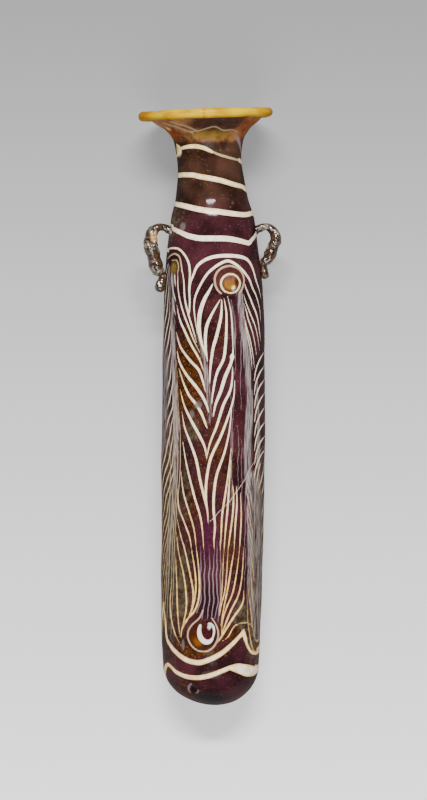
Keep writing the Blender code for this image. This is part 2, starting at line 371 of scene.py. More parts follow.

# Lines drawn one by one where the photograph shows single threads. Each is (half width in mm at its ends,
# half width at its middle, pixels of the photograph that it passes).

# Threads round the neck, from the hook below the flare down to the handles
NECK_THREADS = (
    (0.4, 0.6, ((176.6, 144.5), (179.4, 147.4), (180.2, 150.5), (178.6, 153.6), (176.4, 156.6))),
    (0.4, 0.62, ((180.6, 148.4), (187, 146.6), (194, 146), (200, 146.8), (206, 148.8), (212, 151.8))),
    (0.65, 0.74, (
        (176, 175.3), (190, 174.8), (200, 176.6), (212, 178.6), (223, 181), (234, 184.4), (246, 188.8),
    )),
    (0.6, 0.79, (
        (173, 203.5), (182, 205.3), (191, 207.6), (205, 210.3), (218, 211.6), (234, 213.7), (246, 214.6),
        (253, 212),
    )),
    (0.47, 0.79, (
        (168, 226.5), (173, 228.5), (180, 232), (189, 236), (200, 238.2), (212, 238.4), (226, 238.6),
        (238, 240.4), (248.5, 243), (252, 239.5), (256, 233.5),
    )),
)

# Arches over the two upper drops
ARCHES = (
    (0.12, 0.49, (
        (189.7, 291), (190.2, 283.4), (192.9, 275.8), (197.2, 266), (205.9, 259.5), (216.8, 256.3),
        (230.9, 255.7), (242.8, 257.4), (248.6, 261.2), (252.6, 268.5), (256.5, 281.6), (259, 289),
        (260.8, 298),
    )),
    (0.2, 0.33, (
        (167.4, 250.8), (170, 248.7), (174.5, 248), (179.9, 249.8), (185.3, 256.3), (188.6, 263.9),
        (189.7, 274.7), (189, 288.8), (189.7, 300.7), (189.2, 312),
    )),
    (0.08, 0.39, (
        (197.2, 334), (195, 319), (194, 305), (196.5, 293), (205, 277), (213, 268.5), (223, 262.2),
        (230, 261.3), (239.5, 267.4), (246.6, 275.4), (249.9, 280.8), (252.4, 288), (255.7, 295),
        (257.8, 302), (259.4, 310), (260.6, 323),
    )),
    (0.1, 0.59, (
        (206, 356), (202, 345), (199.4, 333), (198.9, 322.4), (200.4, 311), (204.6, 299), (209.4, 290.5),
        (213, 283.5),
    )),
)

# Strokes to the right of the point where the feather's barbs meet, and a bead on one of them
RIGHT_FLANK = (
    (0.08, 0.44, ((220.5, 299), (213, 312), (207, 325), (205.3, 337.6), (205.8, 349.5), (207.5, 362))),
    (0.08, 0.44, (
        (221.6, 299), (221.6, 310), (220, 322), (216, 338), (213, 348.5), (210.4, 368), (209.8, 384),
    )),
    (0.08, 0.39, (
        (224, 298), (226.3, 312), (226.5, 326.8), (225.6, 345), (223.5, 359.3), (216.8, 373.4), (213, 392),
        (211.5, 405),
    )),
    (0.11, 0.48, (
        (233.3, 348), (232.6, 356), (230.3, 364.7), (225, 377), (220.5, 391.8), (215.7, 404), (213, 417),
    )),
    (0.27, 0.66, ((232.2, 354.5), (232, 359.5))),
    (0.08, 0.17, ((227.5, 296), (231, 312), (232.3, 327), (233, 350))),
    (0.08, 0.37, (
        (232.6, 366), (232, 380), (229.5, 392), (223.3, 405), (216.8, 425.8), (210, 443), (206.8, 457),
    )),
    (0.08, 0.37, (
        (234.5, 380), (233.5, 398), (228, 417), (220.5, 437), (210.8, 458), (206.5, 480), (206, 498.5),
        (207.6, 512), (208.3, 520),
    )),
    (0.08, 0.37, (
        (232, 404), (229.5, 430), (224.4, 453), (216.8, 474.6), (214, 493), (213.6, 510), (215, 525.6),
        (214, 540), (214.4, 550),
    )),
    (0.08, 0.27, ((231.3, 448), (228.6, 472), (224.6, 498.5), (222.2, 514.7), (221.3, 532), (220.2, 550))),
    (0.08, 0.27, ((231, 460.5), (229, 487.6), (227.6, 509), (225.6, 530), (224, 550))),
    (0.08, 0.27, ((232.5, 484), (233.6, 497), (232.8, 515), (230.4, 533), (228, 550))),
    (0.08, 0.27, ((236.5, 486), (237, 505), (235.6, 524), (234, 550))),
    (0.08, 0.22, ((240.5, 492), (241.5, 515), (240.6, 535), (239.3, 550))),
)

# Strokes to the left of it
LEFT_FLANK = (
    (0.08, 0.27, ((180.6, 264), (183.4, 280), (184.6, 298), (187.6, 312), (193, 330), (196.5, 342))),
    (0.08, 0.25, ((177.5, 270), (177.9, 290), (182, 309), (188.2, 326), (194, 341), (200, 353))),
    (0.08, 0.35, ((176.4, 305), (179.5, 319), (184.4, 330.5), (191.8, 346), (199.2, 359), (204.4, 373))),
    (0.08, 0.41, ((176.4, 332), (180.6, 347), (190.5, 361), (198.3, 369.4), (202.5, 380), (206, 393))),
    (0.1, 0.46, (
        (177.2, 351), (179.4, 362), (186.4, 375), (195.5, 386), (202, 395.5), (206.6, 405), (209, 413),
    )),
    (0.1, 0.41, (
        (178.6, 368), (183, 382), (189, 395), (195.6, 403.5), (201.6, 413.5), (205.6, 424), (207.6, 429),
    )),
    (0.08, 0.4, ((180, 389), (184.2, 405), (190.7, 419.3), (199.4, 435.6), (204.8, 447.5), (206.6, 459))),
    (0.08, 0.37, (
        (182, 411.7), (184.4, 426.5), (189.6, 441), (196, 459.4), (200.3, 481), (204.5, 498.5),
        (207.5, 512), (208.2, 524),
    )),
    (0.08, 0.31, (
        (182.6, 440), (186, 462), (190.6, 482), (195, 498.5), (199.4, 513), (202, 526), (203.8, 550),
    )),
    (0.08, 0.24, ((180.6, 470), (183.4, 492), (189.3, 512), (194, 529), (196.4, 550))),
    (0.08, 0.24, ((177.7, 489), (179, 507), (184, 521), (189.4, 536.5), (191.5, 550))),
    (0.08, 0.24, (
        (176.5, 514), (180.6, 535), (184.8, 550), (190.2, 575.8), (193, 592), (192.2, 606), (188.4, 618),
        (182, 630),
    )),
    (0.08, 0.24, (
        (176.4, 532), (178.6, 552), (183, 572.5), (185.9, 594), (186.2, 609.4), (183.2, 624.6), (181, 635),
    )),
    (0.08, 0.24, ((175.6, 555), (176.6, 588.8), (177.7, 612), (180, 637))),
    (0.08, 0.24, ((171.6, 580), (170.2, 600), (171.2, 618), (175, 633.5), (181, 645.5))),
)

# Strokes between the upper drop and the right edge
RIGHT_SIDE = (
    (0.1, 0.3, (
        (244.5, 283.3), (245.8, 288.2), (248.2, 294), (250.7, 300), (253.2, 306.5), (255.7, 312.7),
        (257.8, 321), (259, 329.7), (260.6, 341),
    )),
    (0.08, 0.22, (
        (243.3, 294), (245.8, 302.3), (249, 310.6), (252.4, 319), (254.9, 325.6), (257.6, 337),
        (259.4, 350),
    )),
    (0.08, 0.2, ((243.3, 302.3), (246.2, 310.6), (248.2, 319), (250.7, 326.4), (254, 339), (256.4, 356))),
    (0.08, 0.18, ((243.7, 314.8), (246.6, 327), (250, 340), (252.6, 354), (254.4, 368))),
    (0.08, 0.16, ((245, 324), (247.6, 337.6), (250.4, 352), (252.2, 370))),
)

# Short strokes one below the other on the right edge. The first one, its end past the edge as (degrees
# from the front, row), how many rows lie between two, and how many there are
EDGE_STROKE = ((265.2, 350), (262, 355.5), (258.6, 362), (256, 370), (254.4, 381))
EDGE_STROKE_END = ((82.5, 353), (87, 348.5), (92, 344))
EDGE_STROKE_ROWS = 14.0
EDGE_STROKE_COUNT = 8
HIDDEN_STROKES_ABOVE = 4


def stroke_below(points, k):
    """The same stroke k places further down."""
    return tuple((across, row + k * EDGE_STROKE_ROWS) for across, row in points)


EDGE_STROKES = tuple((0.08, 0.3, stroke_below(EDGE_STROKE, k)) for k in range(EDGE_STROKE_COUNT))
EDGE_STROKE_ENDS = tuple(
    (0.2, 0.3, stroke_below(EDGE_STROKE_END, k)) for k in range(-HIDDEN_STROKES_ABOVE, EDGE_STROKE_COUNT)
)

# Threads that run down on the left of the plain column to the lower drop
LOWER_COLUMN = (
    (0.12, 0.26, (
        (196.4, 550), (198.4, 567), (199.5, 585.5), (198.3, 600.7), (194, 611.6), (186.6, 620),
        (182.2, 628), (181, 638),
    )),
    (0.12, 0.24, ((191.5, 550), (195, 572.5), (195.7, 588.8), (193.3, 605), (189.6, 616))),
)

# Threads that gather on the right of it
LOWER_RIGHT_FAN = (
    (0.08, 0.14, ((224, 550), (222.8, 572.5), (222, 588.8), (220.2, 607), (219, 616))),
    (0.08, 0.17, ((228, 550), (226.9, 570.4), (225.2, 589), (221.2, 606), (219.5, 616))),
    (0.08, 0.24, ((234, 550), (231.2, 567), (228.6, 584), (224, 607), (221, 626))),
    (0.08, 0.24, ((239.3, 550), (236.6, 572.5), (233, 592), (226.8, 607), (223, 619), (221.6, 632))),
    (0.08, 0.27, ((243.6, 546.5), (241.7, 578), (238.4, 595.3), (231, 610.5), (223.4, 630), (221.5, 636))),
    (0.08, 0.33, ((243.9, 590), (242.9, 603), (233.5, 617.5), (221.6, 636.6), (217.6, 642.5))),
)

# The two waves round the foot, with the loop between them
FOOT_THREADS = (
    (0.08, 0.2, ((221.7, 641.7), (228.3, 636.7), (235, 625.8), (243.3, 623.3), (250, 624), (253.3, 631.7))),
    (0.44, 0.76, (
        (163.4, 606), (165.2, 620), (166.9, 637.6), (171, 646), (175.5, 651.7), (183, 658), (190.7, 661.5),
        (200.5, 662.5), (212.4, 658.4), (221, 653.5), (227.6, 648.4), (235, 641.5), (240.5, 635.5),
        (243.6, 631),
    )),
    (0.42, 0.74, ((240.5, 636.5), (243.4, 632.5), (245, 637.6), (246.6, 642.5))),
    (0.33, 0.47, ((243.8, 630), (245.2, 638), (248.2, 647.4), (252.6, 652.8), (258, 652), (261, 646))),
    (0.42, 0.7, (
        (164.5, 679), (165.6, 669), (167.4, 664.5), (171, 667), (175, 671.5), (180.4, 674.5), (186, 676.6),
        (196, 677.8), (205, 676.8), (214, 674.2), (223, 670.6), (232, 667), (239, 665.4), (247, 667),
        (254, 668), (259.5, 664.5),
    )),
    (0.6, 1.75, ((230, 668), (240, 669), (247, 670.5), (254, 671), (260, 668.5))),
)
OPAQUE_THREADS = (
    *NECK_THREADS, *ARCHES, *RIGHT_FLANK, *LEFT_FLANK, *LOWER_COLUMN, *LOWER_RIGHT_FAN, *FOOT_THREADS,
    *RIGHT_SIDE, *EDGE_STROKES,
)

# The same threads where they run on round the back: (degrees from the front, row)
UNSEEN_THREADS = (
    (0.62, 0.66, ((68, 160), (120, 166), (180, 171), (240, 173.5), (292, 175.5))),
    (0.66, 0.7, ((70, 188), (120, 195), (180, 199), (240, 202), (290, 204))),
    (0.66, 0.74, ((76, 213), (120, 217), (180, 220), (240, 223), (292, 227))),
    (0.5, 0.7, ((72, 236), (90, 233), (125, 240), (180, 243), (235, 246), (285.5, 250.8))),
    (0.5, 0.62, (
        (70, 652), (84, 648), (98, 636), (114, 652), (131, 661), (148, 652), (165, 636), (182, 652),
        (200, 661), (218, 652), (236, 636), (254, 652), (267, 650), (278, 628), (287.8, 606),
    )),
    (0.6, 0.8, (
        (68, 669), (84, 672), (98, 667), (131, 678), (165, 667), (200, 678), (236, 667), (268, 678),
        (290, 668),
    )),
    *EDGE_STROKE_ENDS,
)

# Threads of a browner white: the end of the neck's first turn, the collar below the rim, the left edge,
# the rings round the drops and the folds in the flange
BROWNED_THREADS = (
    (0.28, 0.36, ((210, 150.8), (219, 154.6), (226, 156.8), (234, 159), (241, 161))),
    (0.1, 0.2, (
        (185, 130.4), (192, 131), (199, 130.4), (209, 127.7), (215, 126.8), (220.6, 129.4), (224.2, 130.8),
        (233, 130.4), (237.6, 133),
    )),
    (0.08, 0.14, (
        (176.4, 360), (178, 400), (180.5, 440), (179.5, 480), (176, 520), (174, 560), (172.5, 600),
        (171, 640),
    )),
    (0.08, 0.14, (
        (174.4, 370), (176, 410), (178, 450), (176.6, 490), (173.6, 530), (171.4, 575), (169.6, 620),
    )),
    (0.08, 0.14, ((172.4, 400), (174.4, 450), (172.6, 500), (170, 550), (167.6, 600), (166.4, 640))),
    (0.08, 0.14, ((169, 420), (170.6, 460), (169.4, 510), (167, 560), (165.2, 610))),
    (0.26, 0.3, (
        (221, 293.5), (217.3, 289.5), (215, 283.4), (215.2, 276), (219, 270), (225, 266.6), (232, 266.2),
        (238.5, 269), (242.6, 274.5), (243.8, 281), (242.2, 288), (239.5, 293),
    )),
    (0.2, 0.26, (
        (203, 610), (199.4, 618), (192.4, 624.5), (188.3, 631), (188, 638), (191, 645), (196.6, 650),
        (203.8, 651.7), (210.6, 649.6), (215.6, 644), (218.2, 637), (217.8, 629.6), (215, 623),
        (211.9, 618),
    )),
    (0.18, 0.26, ((163, 121.5), (176, 126), (193, 133))),
    (0.18, 0.24, ((170, 120.5), (184, 125), (198, 131))),
    (0.2, 0.3, ((168, 258.5), (173.4, 254), (178.8, 256.2), (181, 265), (181.5, 272))),
    (0.15, 0.22, ((171.8, 260.5), (176, 260), (178.2, 265), (178, 271))),
)

# Fine lilac lines that were drawn along in the plain glass, a smear on the neck and the rim of a pit
FINE_LINES = (
    (0.35, 0.65, ((236.8, 137), (238.8, 141), (240.4, 147), (241, 153))),
    (0.2, 0.38, ((191.4, 683.4), (188.8, 686), (188.6, 690), (190.6, 693))),
    (0.15, 0.3, ((195.6, 693.6), (198, 692), (198.6, 689.6))),
    (0.08, 0.13, ((230.3, 392), (230.9, 430), (230, 470))),
    (0.08, 0.13, ((233.4, 402), (232.4, 440), (231.6, 480), (231, 505))),
    (0.08, 0.12, ((238, 425), (238.4, 455), (237.6, 492))),
    (0.08, 0.12, ((241.4, 440), (241.8, 480), (242.2, 515))),
    (0.08, 0.13, ((246, 435), (246, 480), (245.2, 530), (244.4, 590))),
    (0.08, 0.13, ((248.6, 420), (249.2, 480), (248.4, 540), (247.6, 600))),
    (0.08, 0.13, ((231.4, 300), (234.6, 318), (235.6, 345), (234.6, 375))),
    (0.08, 0.13, ((238, 295), (241.4, 330), (240.4, 370), (240.8, 410))),
    (0.1, 0.17, ((200.6, 546), (200.4, 566), (201, 588), (199.8, 602), (196.4, 614))),
    (0.1, 0.18, ((203.8, 546), (204.4, 570), (204.8, 590), (203.6, 606), (201.8, 622))),
    (0.1, 0.18, ((208.3, 520), (209.2, 548), (209.2, 574), (209.6, 590), (208.4, 606), (207.4, 620))),
    (0.1, 0.18, ((214.4, 550), (213, 568), (213.6, 588), (213, 604), (211.4, 619))),
    (0.1, 0.17, ((217.6, 540), (216.6, 562), (217.2, 586), (217.4, 604), (214.8, 619))),
    (0.1, 0.16, ((220.2, 540), (220.6, 572.5), (220.6, 592), (218.9, 609), (218.6, 622))),
)

# The ring inside the upper drop
DROP_RING = (
    (0.26, 0.3, (
        (230.4, 293), (225, 291.4), (221.4, 286.5), (221.2, 281), (224.4, 276.2), (230, 274), (236, 276),
        (239.6, 281.5), (239, 287), (235.6, 291.6), (230.4, 293),
    )),
)

# The white curl inside the lower drop
FOOT_CURL = (
    (0.3, 0.75, ((200.4, 625), (199.2, 631), (200.6, 637.5), (205, 641.8), (209.5, 641.6), (212.6, 638.4))),
    (0.2, 0.3, ((212.6, 638.4), (214.1, 632.5), (213.3, 626.6), (210, 623.4), (208.3, 624))),
)

# Bundles where the comb drew many threads together until they blurred to grey
BUNDLES = (
    (0.85, 1.25, (
        (238.6, 287), (239.6, 297), (240.6, 310), (243, 327), (246, 350), (248.4, 375), (249.6, 410),
        (248, 440), (248, 470), (249.5, 500), (251, 560), (253, 610), (255, 630),
    )),
    (0.4, 0.95, (
        (172, 272), (172.6, 310), (173.2, 350), (174.6, 390), (175.8, 430), (175, 470), (172, 520),
    )),
    (0.1, 0.55, ((197, 330), (202, 350), (205.5, 370), (208, 395), (209.2, 414), (208.6, 424))),
    (0.1, 0.4, ((231, 300), (233, 330), (234, 350))),
    (0.4, 1.0, ((257, 380), (258.6, 440), (258.4, 500), (257.6, 560), (257.4, 620))),
)

# The front panel of single threads: its left and right edges, as (row, column)
PANEL_LEFT = (
    (243, 162), (256, 166), (265, 169), (275, 175.5), (345, 175), (390, 177), (430, 179), (470, 177.5),
    (520, 174), (560, 170), (600, 166), (668, 163),
)
PANEL_RIGHT = (
    (243, 266), (300, 266), (455, 266), (475, 247), (560, 247), (600, 247), (668, 247),
)

# Spots of other glass in the drops, the rim and the neck, a painted highlight on each drop, a near-black spot
# in the pit by the base, and painted shade at the base's end: (column, row, half width and half height in
# pixels, softness, colour)
SPOTS_AND_PAINTED_LIGHT = (
    (229.4, 281, 14.2, 14.2, 0.12, "391c19"),
    (230.4, 283.6, 9.0, 9.2, 0.1, "422416"),
    (230.0, 281.6, 6.6, 5.6, 0.4, "65412f"),
    (230.6, 285.6, 5.4, 3.6, 0.5, "775012"),
    (236.4, 282, 2.2, 4.4, 0.6, "39170a"),
    # Painted highlight: a pale dot on the upper drop
    (233.3, 287.9, 1.7, 1.7, 0.5, "cbc1ac"),
    (203.4, 635.2, 15.2, 16.0, 0.1, "2e1211"),
    (197.6, 638, 8.0, 9, 0.6, "391b07"),
    (198.0, 642, 4.6, 3.8, 0.6, "5b340f"),
    (207.6, 632, 5.2, 6.4, 0.2, "2c0d11"),
    # Painted highlight: a pale dot on the lower drop
    (209.3, 626.9, 1.9, 1.9, 0.4, "c4baac"),
    (209, 536, 10, 22, 0.9, "341121"),
    (172, 134, 6, 5, 0.7, "7f3b0c"),
    (248, 127, 8, 8, 0.7, "7a3c19"),
    (217.5, 123.5, 28, 8.0, 0.3, "432b22"),
    (211, 134.8, 21, 4.8, 0.7, "62491f"),
    (178.6, 150.5, 2.6, 5.4, 0.4, "b39c70"),
    (168, 127.7, 1.6, 1.6, 0.7, "b99958"),
    # A near-black spot that fills the pit by the base
    (193.4, 688.6, 3.6, 3.4, 0.5, "110707"),
    # Painted shade: a dark patch over the base's end, where it turns away from the light
    (212, 699, 15, 7, 0.8, "161114"),
    (174.2, 266.5, 5.0, 8.0, 0.25, "30220d"),
    (173.2, 268, 2.8, 4.4, 0.6, "624c24"),
)

# Where the threads were drawn so close that they blur: (degrees from the front, half width, rows)
RUBBED = (
    (-70.0, 11.0, (330, 470)),
    (68.0, 12.0, (470, 660)),
)
RUBBED_FADE = 8.0

# A fine crack that runs round the lower body
CRACK = (
    (264, 445), (260.6, 450.5), (250.4, 468), (246, 478), (238, 490), (232.8, 497), (228.4, 503),
    (222.5, 508.5), (218.8, 512), (213.7, 518), (209, 522),
)

# Small losses in the surface: (photograph's column and row, half width, half height and depth in mm, and
# how grey the fresh break is)
CHIPS = (
    ((183, 226.5), 1.1, 1.1, 0.25, 1.0),
    ((233, 203), 0.5, 0.5, 0.3, 0.4),
    ((198.3, 405), 1.15, 1.0, 0.2, 0.9),
    ((192, 414), 0.8, 1.1, 0.2, 0.8),
    ((183, 645), 0.5, 1.6, 0.25, 0.9),
    ((193, 688.5), 1.1, 1.0, 0.45, 0.0),
)

# Stains of the ground glass: (column, row, half width and half height in pixels, strength)
AMBER_STAINS = (
    (188, 378, 15, 46, 1.0),
    (222, 335, 10, 30, 0.45),
    (205, 420, 7, 12, 0.7),
    (196, 650, 24, 10, 0.8),
    (234, 634, 20, 9, 0.7),
    (213, 154, 34, 8, 0.35),
    (190, 600, 10, 36, 0.55),
    (230, 560, 12, 40, 0.5),
    (192, 510, 12, 40, 0.5),
    (216, 450, 24, 50, 0.55),
    (215, 330, 20, 60, 0.35),
    (186, 692, 18, 14, 0.6),
)
OLIVE_STAINS = (
    (172, 222, 13, 20, 0.75),
    (214, 150, 34, 9, 0.35),
    (181, 590, 9, 42, 0.9),
    (191, 432, 9, 14, 0.7),
    (184, 490, 8, 40, 0.55),
    (243, 616, 9, 16, 0.9),
    (254, 640, 8, 16, 0.8),
    (170, 530, 9, 110, 0.9),
    (258, 560, 8, 100, 0.85),
)

# A pixel of the photograph on the glass, a depth that is well outside every line, and the softness of a
# stain's edge
PIXEL_MM = 0.2926
NOWHERE = -9.0
STAIN_FALL = 0.7


def shorter_turn(angle):
    """The same turn the shorter way round, from -180 to 180 degrees, in radians."""
    return (angle + math.pi) % (2 * math.pi) - math.pi


def unseen_course(knots):
    """A line round the side that the photograph doesn't show, from (degrees from the front, row) knots."""
    degrees, rows = zip(*knots)
    return np.radians(degrees), np.array([row_height(row) for row in rows])


def line_depth(u, z, radius, line):
    """How deep points (mm round, mm up) lie inside a drawn line: above 0 inside it, in mm."""
    thin, thick, course = line
    angles, heights = smooth_course(course)
    share = np.linspace(0, 1, len(angles))
    halves = thin + (thick - thin) * np.sin(math.pi * share) ** 0.9
    best = np.full(u.shape, NOWHERE)
    reach = thick + 1.5
    for k in range(len(angles) - 1):
        low, high = sorted(heights[k : k + 2])
        near = np.flatnonzero((z > low - reach) & (z < high + reach))
        turn = shorter_turn(u[near] / UNROLLED * 2 * math.pi - angles[k])
        px, pz = turn * radius[near], z[near] - heights[k]
        sx, sz = (angles[k + 1] - angles[k]) * radius[near], heights[k + 1] - heights[k]
        along = np.clip((px * sx + pz * sz) / (sx * sx + sz * sz + 1e-9), 0, 1)
        half = halves[k] + along * (halves[k + 1] - halves[k])
        best[near] = np.maximum(best[near], half - np.hypot(px - along * sx, pz - along * sz))
    return best


def deepest(u, z, radius, lines, where=pixel_course):
    """How deep points lie inside the drawn line that they lie deepest in."""
    best = np.full(u.shape, NOWHERE)
    for thin, thick, points in lines:
        best = np.maximum(best, line_depth(u, z, radius, (thin, thick, where(points))))
    return best


def spot_gap(angle, height, column, row, wide, high):
    """1 on the edge of a spot that is drawn round a pixel, and less inside it."""
    a0, h0 = on_glass(column, row)
    side = 1 if column < IMAGE_WIDTH / 2 else -1
    a1, _ = on_glass(column + side * wide, row)
    return np.hypot(shorter_turn(angle - a0) / (a1 - a0), (height - h0) / (high * PIXEL_MM))


def stain(angle, height, places):
    """How strongly each point is stained, from 0 to 1."""
    total = np.zeros(angle.shape)
    for *place, strength in places:
        total = np.maximum(total, strength * np.exp(-STAIN_FALL * spot_gap(angle, height, *place) ** 2))
    return total


def panel_depth(angle, height):
    """How far inside the front panel each point lies, in degrees."""
    sides = []
    for edge in (PANEL_LEFT, PANEL_RIGHT):
        rows, columns = zip(*edge)
        angles, heights = on_glass(columns, rows)
        order = np.argsort(heights)
        sides.append(np.interp(height, heights[order], angles[order]))
    inside = np.minimum(angle - sides[0], sides[1] - angle)
    rows = [row_height(PANEL_LEFT[0][0]), row_height(PANEL_LEFT[-1][0])]
    return np.where((height < min(rows)) | (height > max(rows)), NOWHERE, np.degrees(inside))


def smooth_course(course, steps=4):
    """The same line with more points, rounded between the ones that it is drawn through."""
    points = np.array(course).T
    padded = np.vstack([2 * points[0] - points[1], points, 2 * points[-1] - points[-2]])
    out = []
    for a, b, c, d in zip(padded, padded[1:], padded[2:], padded[3:]):
        for t in np.arange(steps) / steps:
            cubic = 3 * b - a - 3 * c + d
            out.append(0.5 * (2 * b + (c - a) * t + (2 * a - 5 * b + 4 * c - d) * t**2 + cubic * t**3))
    out.append(points[-1])
    return np.array(out).T


def before_combing(u, z):
    """Where points lay before the comb was drawn, and how deep they lie in the plain glass beside it."""
    for place, radius in DROPS.values():
        u, z = before_drop(u, z, drop_centre(*place), radius)
    plain = np.full(u.shape, NOWHERE)
    for name, widths in PLAIN_LINES.items():
        way, stroke = name.split()
        knots = stroke_knots((UP_STROKES if way == "up" else DOWN_STROKES)[stroke])
        u, depth = before_plain_line(u, z, knots, widths)
        plain = np.maximum(plain, depth)
    for way, strokes in (("down", DOWN_STROKES), ("up", UP_STROKES)):
        for stroke, knots in strokes.items():
            reach = REACHES.get(way + " " + stroke, COMB_REACH)
            u, z = before_stroke(u, z, stroke_knots(knots), way == "up", reach)
    return u, z, plain


def spot_colours(angle, height):
    """The spots as one colour with alpha at each point."""
    spots = np.zeros((len(angle), 4))
    for *place, soft, code in SPOTS_AND_PAINTED_LIGHT:
        share = np.clip((1 + soft - spot_gap(angle, height, *place)) / (2 * soft), 0, 1)[:, None]
        share = share * share * (3 - 2 * share)
        spots = spots * (1 - share) + np.array([*srgb(code)[:3], 1.0]) * share
    spots[:, :3] /= np.maximum(spots[:, 3:], 1e-6)
    return spots


def rubbed_places(angle, height):
    """How blurred the threads are at each point, from 0 to 1."""
    rubbed = np.zeros(angle.shape)
    for middle, half, rows in RUBBED:
        near = np.clip(1.4 - np.abs(np.degrees(angle) - middle) / half, 0, 1)
        low, high = sorted(row_height(row) for row in rows)
        near *= np.clip((height - low) / RUBBED_FADE, 0, 1) * np.clip((high - height) / RUBBED_FADE, 0, 1)
        rubbed = np.maximum(rubbed, near)
    return rubbed


def pattern(angle, height):
    """Everything the vessel's finish reads from its mesh, at points given by angle and height."""
    u = angle / (2 * math.pi) * UNROLLED
    z = height.copy()
    # The hand's unsteadiness, as slow waves in the lines
    u_wave = u + 0.25 * np.sin(0.31 * z + 0.3 * u) + 0.12 * np.sin(0.77 * z + 0.5 * u + 1)
    z_wave = z + 0.4 * np.sin(0.35 * u + 0.12 * z) + 0.2 * np.sin(0.83 * u - 0.3 * z)
    u_drift = u + 0.14 * np.sin(0.55 * z) + 0.08 * np.sin(1.3 * z + 1)
    u_wound, z_wound, plain = before_combing(u_wave, z_wave)
    heights, numbers = zip(*sorted((row_height(row), number) for row, number in WINDING))
    turns = np.interp(z_wound, heights, numbers)
    bare = np.clip((plain + 0.05) / 0.17, 0, 1)
    panel = np.clip((panel_depth(angle, height) + 1) / 2, 0, 1)
    hidden = (turns < SHOWN_TURNS[0]) | (turns > SHOWN_TURNS[1])
    radius = outer_radius(height)
    unseen = deepest(u, z, radius, UNSEEN_THREADS, unseen_course)
    return {
        "turns": turns - u_wound / UNROLLED,
        "open": (1 - bare) * (1 - panel) * ~hidden,
        "laid": np.maximum(deepest(u, z, radius, OPAQUE_THREADS), unseen),
        "browned": deepest(u, z, radius, BROWNED_THREADS),
        "fine_line": deepest(u_drift, z, radius, FINE_LINES),
        "drop_ring": deepest(u, z, radius, DROP_RING),
        "curl": deepest(u, z, radius, FOOT_CURL),
        "bundle": deepest(u, z, radius, BUNDLES),
        "crack": line_depth(u, z, radius, (0.0, 0.0, pixel_course(CRACK))),
        "amber": stain(angle, height, AMBER_STAINS),
        "olive": stain(angle, height, OLIVE_STAINS),
        "spots": spot_colours(angle, height),
        "height": height,
        "rubbed": rubbed_places(angle, height),
    }


# Materials

def srgb(code):
    """An sRGB hex colour as linear RGBA."""
    channels = [int(code[i : i + 2], 16) / 255 for i in (0, 2, 4)]
    return (*(c / 12.92 if c <= 0.04045 else ((c + 0.055) / 1.055) ** 2.4 for c in channels), 1.0)


# How strongly glass bends light, and how deep burial pitted it and the handles, in millimetres
GLASS_IOR = 1.5
PIT_DEPTH = 0.2
HANDLE_PIT_DEPTH = 0.3

# Settings of the nodes that a finish is built from
TIMES = {"operation": "MULTIPLY"}
PLUS = {"operation": "ADD"}
MINUS = {"operation": "SUBTRACT"}
LARGER = {"operation": "MAXIMUM"}
SMOOTH = {"interpolation_type": "SMOOTHSTEP"}
COLOURS = {"data_type": "RGBA"}


def add(tree, kind, settings=None, inputs=()):
    """Adds a node and sets its properties. Its inputs take values or other nodes, in turn or by name."""
    made = tree.nodes.new("ShaderNode" + kind)
    for name, value in (settings or {}).items():
        setattr(made, name, value)
    shown = [socket for socket in made.inputs if socket.enabled]
    named = inputs if isinstance(inputs, dict) else dict(enumerate(inputs))
    for key, value in named.items():
        socket = shown[key] if isinstance(key, int) else made.inputs[key]
        if isinstance(value, bpy.types.Node):
            value = next(output for output in value.outputs if output.enabled)
        if isinstance(value, bpy.types.NodeSocket):
            tree.links.new(value, socket)
        else:
            socket.default_value = value
    return made


def lumps(size_mm):
    """The scale of a noise whose lumps are about size_mm across."""
    return 1 / (size_mm * MM)


def mottled(tree, clouds, span, colours):
    """Glass that drifts from one colour to the other as the clouds go through the span."""
    share = add(tree, "MapRange", SMOOTH, (clouds, *span))
    return add(tree, "Mix", COLOURS, (share, *(srgb(code) for code in colours)))


def layered(tree, colour, layers):
    """Lays colours over one another, each where its share says."""
    for share, over in layers:
        colour = add(tree, "Mix", COLOURS, (share, colour, over))
    return colour


def new_material(name):
    """A material without a shader yet, its nodes, and the place on the object that its patterns follow."""
    material = bpy.data.materials.new(name)
    material.use_nodes = True
    tree = material.node_tree
    tree.nodes.clear()
    return material, tree, add(tree, "TexCoord").outputs["Object"]


def finished(material, inputs):
    """The material with its shader, which takes values and nodes by name."""
    tree = material.node_tree
    shader = add(tree, "BsdfPrincipled", None, inputs)
    add(tree, "OutputMaterial", None, {"Surface": shader})
    return material


def worn_polish(share, roughness):
    """Old glass shines only through what burial left of its polish, so it reflects less than new glass."""
    return {
        "Specular IOR Level": 0.0,
        "Coat Weight": share,
        "Coat Roughness": roughness,
        "Coat IOR": GLASS_IOR,
    }


# Colours of the ground glass, darker and lighter
PURPLE = ("1a0a0d", "33171c")
NECK_BROWN = ("1a0e09", "36221a")
AMBER = ("170904", "3b1e0a")
OLIVE = ("201a12", "443a2b")
THIN_AMBER = ("562e17", "8f623e")
GOLDEN_FLECK = "593f1e"

# Colours of the threads, and of the grey that many of them blur to
WHITE = ("bfaf8f", "cbc3b4")
CREAM = ("b4945b", "c7ae82")
TAN = ("8c6827", "b79555")
GREY_LILAC = ("392b2f", "7f7573")
FINE_LILAC = "77656d"
BROWNED_WHITE = "938167"
RING_CREAM = "b2a585"
CURL_WHITE = "bab4aa"

# Colours of what the years left on the glass
CRACK_LIGHT = "bfaf9f"
BUBBLE_LIGHT = "9e907e"
BREAK_GREY = "4a4440"

# Heights in millimetres between which one look gives way to the next
NECK_FROM = (141, 151)
FLARE_FROM = (164, 168)
TAN_TO = (30, 95)
CREAM_FROM = (138, 152)
DULL_TO = (112, 130)

